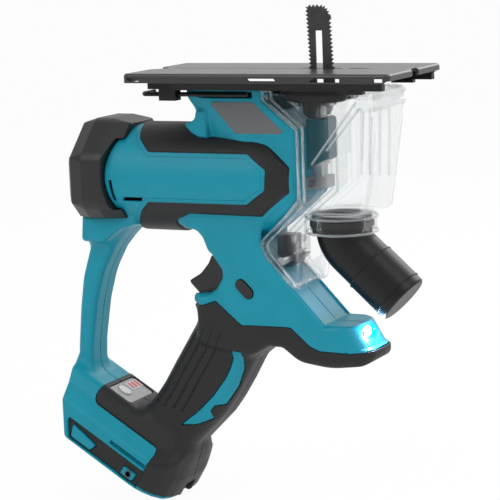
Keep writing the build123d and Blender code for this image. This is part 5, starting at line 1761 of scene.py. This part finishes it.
@dataclass
class Shoe:
    """Pressed shoe: rolled edges, skirt with windows, sight notches, slots and a centre groove."""

    rear: float = -129.5
    front: float = 67.9
    half: float = 45.95
    corner: float = 3.0
    depth: float = 6.5
    front_rise: float = 1.8
    rise_from: float = 63.0
    rise_run: float = 3.0
    thickness: float = 2.2
    skirt: float = 2.0
    roll: float = 2.0
    groove_from: float = -114.0
    groove: float = 0.7
    slot_reach: float = 13.0
    slot_radius: float = 2.0
    window_side: float = 40.0
    windows: tuple[Corners, ...] = (
        ((-127, -2.9, 0.2), (-117, -2.9, 0.2), (-117, -5.4, 0.2), (-124, -5.4, 0.2)),
        ((-34.8, -2.6, 0.2), (-15.2, -2.6, 0.2), (-12.6, -5.4, 0.2), (-32.6, -5.4, 0.2)),
        ((14.8, -2.6, 0.2), (32.8, -2.6, 0.2), (32.8, -5.4, 0.2), (10.4, -5.4, 0.2)),
        ((57, -2.6, 0.2), (63.2, -2.6, 0.2), (63.2, -5.4, 0.2), (57, -5.4, 0.2)),
    )
    plans: tuple[Corners, ...] = (
        ((-140, -20, 0), (-118, -1.5, 0.4), (-118, 1.5, 0.4), (-140, 20, 0)),
        ((64.5, -5.4, 0.8), (80, -5.4, 0), (80, 5.4, 0), (64.5, 5.4, 0.8)),
        ((19, -1.8, 0.4), (30, -1.8, 0.4), (37, 0, 0.2), (30, 1.8, 0.4), (19, 1.8, 0.4)),
    )
    grid: Room = ((-131, -46.5, -7), (69, 46.5, 0.5))

    def sheet(self, at: Place) -> Array:
        """Shape of the pressed sheet with its windows, and with both notches and the front slot in plan.

        Args:
            at: places of the points.

        Returns:
            The distances.
        """
        x, y, z = at
        ends = ((self.rear, -1), (self.front, -1), (self.front, 1), (self.rear, 1))
        side = flat(tuple((end, sign * self.half, self.corner) for end, sign in ends), x, y)
        across = np.abs(y)
        low = self.depth - self.front_rise * np.clip((x - self.rise_from) / self.rise_run, 0, 1)
        whole = np.maximum(round_max(side, z, self.roll), -z - low)
        room = round_max(side + self.skirt, z + self.thickness, radius=0.8)
        slot = away(np.maximum(np.abs(x) - self.slot_reach, 0), y) - self.slot_radius
        groove = overlap(across - self.groove, -self.groove - z, between(x, self.groove_from, 0.0))
        cuts = [np.maximum(flat(window, x, z), self.window_side - across) for window in self.windows]
        cuts += [flat(plan, x, y) for plan in self.plans]
        return round_max(whole, -union(room, slot, groove, *cuts), radius=0.3)

    def build(self, shop: Workshop) -> None:
        """Make the shoe.

        Args:
            shop: makes the piece.
        """
        paint = (Palette.PLATE, "shoe_paint")
        sheet = Piece("shoe_sheet", *paint, self.grid, step=0.5, nodes=("base_plate",), keep=0.12)
        shop.cast(sheet, self.sheet)


@dataclass
class Nozzle:
    """Beads round the outlet where its pieces meet."""

    corner: Pair = (11.5, -117.0)
    fall: float = 41.8
    radius: float = 18.7
    sunk: float = 0.3
    half_height: float = 0.75
    half_width: float = 0.55
    places: Pair = (27.0, 52.9)
    grid: Room = ((17, -20, -168), (66, 20, -119))

    def beads(self, at: Place) -> Array:
        """Shape of two thin rings across the outlet.

        Args:
            at: places of the points.

        Returns:
            The distances.
        """
        along, up = math.cos(math.radians(self.fall)), math.sin(math.radians(self.fall))
        ahead, above = at.x - self.corner[0], at.z - self.corner[1]
        reach = ahead * along - above * up
        out = np.abs(away(at.y, ahead * up + above * along) - self.radius + self.sunk)
        near = union(*(np.abs(reach - place) for place in self.places))
        return round_max(out - self.half_height, near - self.half_width, radius=0.3)

    def build(self, shop: Workshop) -> None:
        """Make the beads.

        Args:
            shop: makes the piece.
        """
        black = (Palette.NOZZLE, "nozzle_plastic")
        beads = Piece("nozzle_beads", *black, self.grid, step=0.4, body="nozzle_body")
        shop.cast(beads, self.beads)


@dataclass
class Bracket:
    """Pair of plates that carry the shoe in front of the head, and the posts that join them to it."""

    outer: float = 12.1
    outline: Corners = (
        (-28, -11.4, 0), (28, -11.4, 0), (28, -14, 2), (23.4, -17.4, 1), (20.3, -21.4, 2), (3.5, -22.5, 2),
        (1.8, -29, 2), (0, -32.6, 2), (-6, -32.7, 3), (-9.8, -29.8, 2), (-10.4, -22, 2), (-23, -20.5, 3),
        (-28, -16, 2),
    )
    posts: Room = ((-26, -12.1, -13), (-20, 12.1, -2.4))
    room: Room = ((-60, -9.1, -60), (60, 9.1, 10))
    grid: Room = ((-29, -13, -34), (29, 13, -2))

    def plates(self, at: Place) -> Array:
        """Shape of the plates and posts, with the room between them."""
        whole = np.minimum(slab(at, self.outline, self.outer, edge=0.8), brick(at, *self.posts, edge=0.5))
        return np.maximum(whole, -brick(at, *self.room))

    def build(self, shop: Workshop) -> None:
        """Make the bracket.

        Args:
            shop: makes the piece.
        """
        black = (Palette.FRAME, "black_frame")
        plates = Piece("bracket_plates", *black, self.grid, step=0.6, nodes=("front_bracket",))
        shop.cast(plates, self.plates)


class SoftBox(NamedTuple):
    """Soft square lamp: its name, place in metres, side and power in watts."""

    name: str
    place: Triple
    size: float
    power: float


@dataclass
class Studio:
    """Floor, backdrop, lamps, world and the camera at the photograph's angle."""

    azimuth: float = 26.9
    elevation: float = 9.5
    roll: float = 2.15
    focal_px: float = 2031.7
    frame_px: float = 500.0
    origin_px: Pair = (322.0, 68.3)
    distance: float = 1373.0
    sensor: float = 36.0
    sight: float = 20.0
    aim: Triple = (-0.06, 0.0, -0.13)
    boxes: tuple[SoftBox, ...] = (
        SoftBox("key_light", (-0.6, -1.2, 0.9), 0.9, 6.5),
        SoftBox("fill_light", (1.3, -0.45, 0.95), 0.9, 9.0),
        SoftBox("top_light", (0.1, 0.3, 1.5), 1.0, 7.0),
        SoftBox("back_light", (0.35, 1.3, 0.75), 1.0, 9.0),
    )
    glow: Triple = (0.0385, -0.005, -0.177)
    glow_radius: float = 0.003
    glow_power: float = 0.09
    glow_colour: Triple = (0.4, 0.62, 1.0)
    floor_gap: float = 0.0005
    floor_reach: float = 6.0
    wall_from: float = 3.0
    wall_height: float = 5.0
    curve_from: float = 0.1
    curve_radius: float = 1.0
    curve_runs: int = 12
    paper: Colour = (0.9, 0.9, 0.9, 1.0)
    paper_white: float = 0.95
    sky: Colour = (0.95, 0.97, 1.0, 1.0)
    sky_strength: float = 0.55

    def camera(self) -> None:
        """Place the camera so that the model's origin falls where the photograph has it."""
        a, e = math.radians(self.azimuth), math.radians(self.elevation)
        back = Vector((math.sin(a) * math.cos(e), -math.cos(a) * math.cos(e), math.sin(e)))
        right = Vector((math.cos(a), math.sin(a), 0.0))
        up = back.cross(right)
        turn = Matrix.Rotation(math.radians(-self.roll), 3, back)
        right, up = turn @ right, turn @ up
        scale = self.distance / self.focal_px * MM
        aside = (self.origin_px[0] - self.frame_px / 2) * scale
        above = (self.frame_px / 2 - self.origin_px[1]) * scale
        data = bpy.data.cameras.new("camera")
        data.sensor_width = self.sensor
        data.lens = self.focal_px * self.sensor / self.frame_px
        data.clip_end = self.sight
        made = add_object("camera", data)
        place = back * (self.distance * MM) - right * aside - up * above
        made.matrix_world = Matrix.Translation(place) @ Matrix((right, up, back)).transposed().to_4x4()
        bpy.context.scene.camera = made

    def floor(self) -> None:
        """Pale floor under the lowest point, which curves up far behind as a backdrop."""
        low = cad_box[0].z - self.floor_gap
        start, reach, radius = self.wall_from, self.floor_reach, self.curve_radius
        turns = np.linspace(self.curve_from, math.pi / 2, self.curve_runs)
        runs = [(-reach, low), (start, low)]
        runs += [(start + radius * math.sin(t), low + radius - radius * math.cos(t)) for t in turns]
        runs.append((start + radius, low + self.wall_height))
        a = math.radians(self.azimuth)
        ahead, aside = Vector((-math.sin(a), math.cos(a), 0)), Vector((math.cos(a), math.sin(a), 0))
        spots = [
            ahead * run + aside * side + Vector((0, 0, height))
            for run, height in runs for side in (-reach, reach)
        ]
        faces = [(2 * i, 2 * i + 1, 2 * i + 3, 2 * i + 2) for i in range(len(runs) - 1)]
        mesh = bpy.data.meshes.new("floor")
        mesh.from_pydata([tuple(s) for s in spots], [], faces)
        made = add_object("floor", mesh)
        shader = Shader(bpy.data.materials.new("floor_paper"))
        share = (shader.ray("Camera") + shader.ray("Glossy") + shader.ray("Transmission")) * self.paper_white
        paper = shader.node("ShaderNodeBsdfDiffuse", {}, {"Color": self.paper})
        white = shader.node("ShaderNodeEmission", {}, {"Color": WHITE_LIGHT, "Strength": 1.0})
        mixed = shader.node("ShaderNodeMixShader", {}, {0: share, 1: paper, 2: white})
        shader.node("ShaderNodeOutputMaterial", {}, {"Surface": mixed})
        mesh.materials.append(shader.owner)

    def lamps(self) -> None:
        """Soft lamps that face the saw, and the lit nose lamp's glow."""
        for box in self.boxes:
            data = bpy.data.lights.new(box.name, "AREA")
            data.shape = "SQUARE"
            data.size = box.size
            data.energy = box.power
            made = add_object(box.name, data)
            made.location = box.place
            made.rotation_euler = (Vector(self.aim) - Vector(box.place)).to_track_quat("-Z", "Y").to_euler()
        data = bpy.data.lights.new("nose_glow", "POINT")
        data.shadow_soft_size = self.glow_radius
        data.energy = self.glow_power
        data.color = self.glow_colour
        add_object("nose_glow", data).location = self.glow

    def world(self) -> None:
        """Pale sky that lights the saw, and a white one that the camera sees."""
        shader = Shader(bpy.data.worlds.new("studio"))
        sky = shader.node("ShaderNodeBackground", {}, {"Color": self.sky, "Strength": self.sky_strength})
        white = shader.node("ShaderNodeBackground", {}, {"Color": WHITE_LIGHT})
        mixed = shader.node("ShaderNodeMixShader", {}, {0: shader.ray("Camera"), 1: sky, 2: white})
        shader.node("ShaderNodeOutputWorld", {}, {"Surface": mixed})
        bpy.context.scene.world = shader.owner

    def build(self) -> None:
        """Set the stage, the camera, the lamps and the world."""
        bpy.context.scene.view_settings.view_transform = "Standard"
        self.floor()
        self.camera()
        self.lamps()
        self.world()


def main() -> None:
    """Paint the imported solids, build the saw's pieces in order, then the studio."""
    logging.basicConfig(level=logging.INFO, format="%(message)s")
    shop = Workshop()
    for finish, nodes in PACKED.items():
        shop.paint(finish, nodes)
    shell = Shell()
    for assembly in (shell, Cap(shell), Controls(shell.foot), Shoe(), Bracket(), Nozzle(), DustBox()):
        assembly.build(shop)
    Studio().build()


if __name__ == "__main__":
    main()
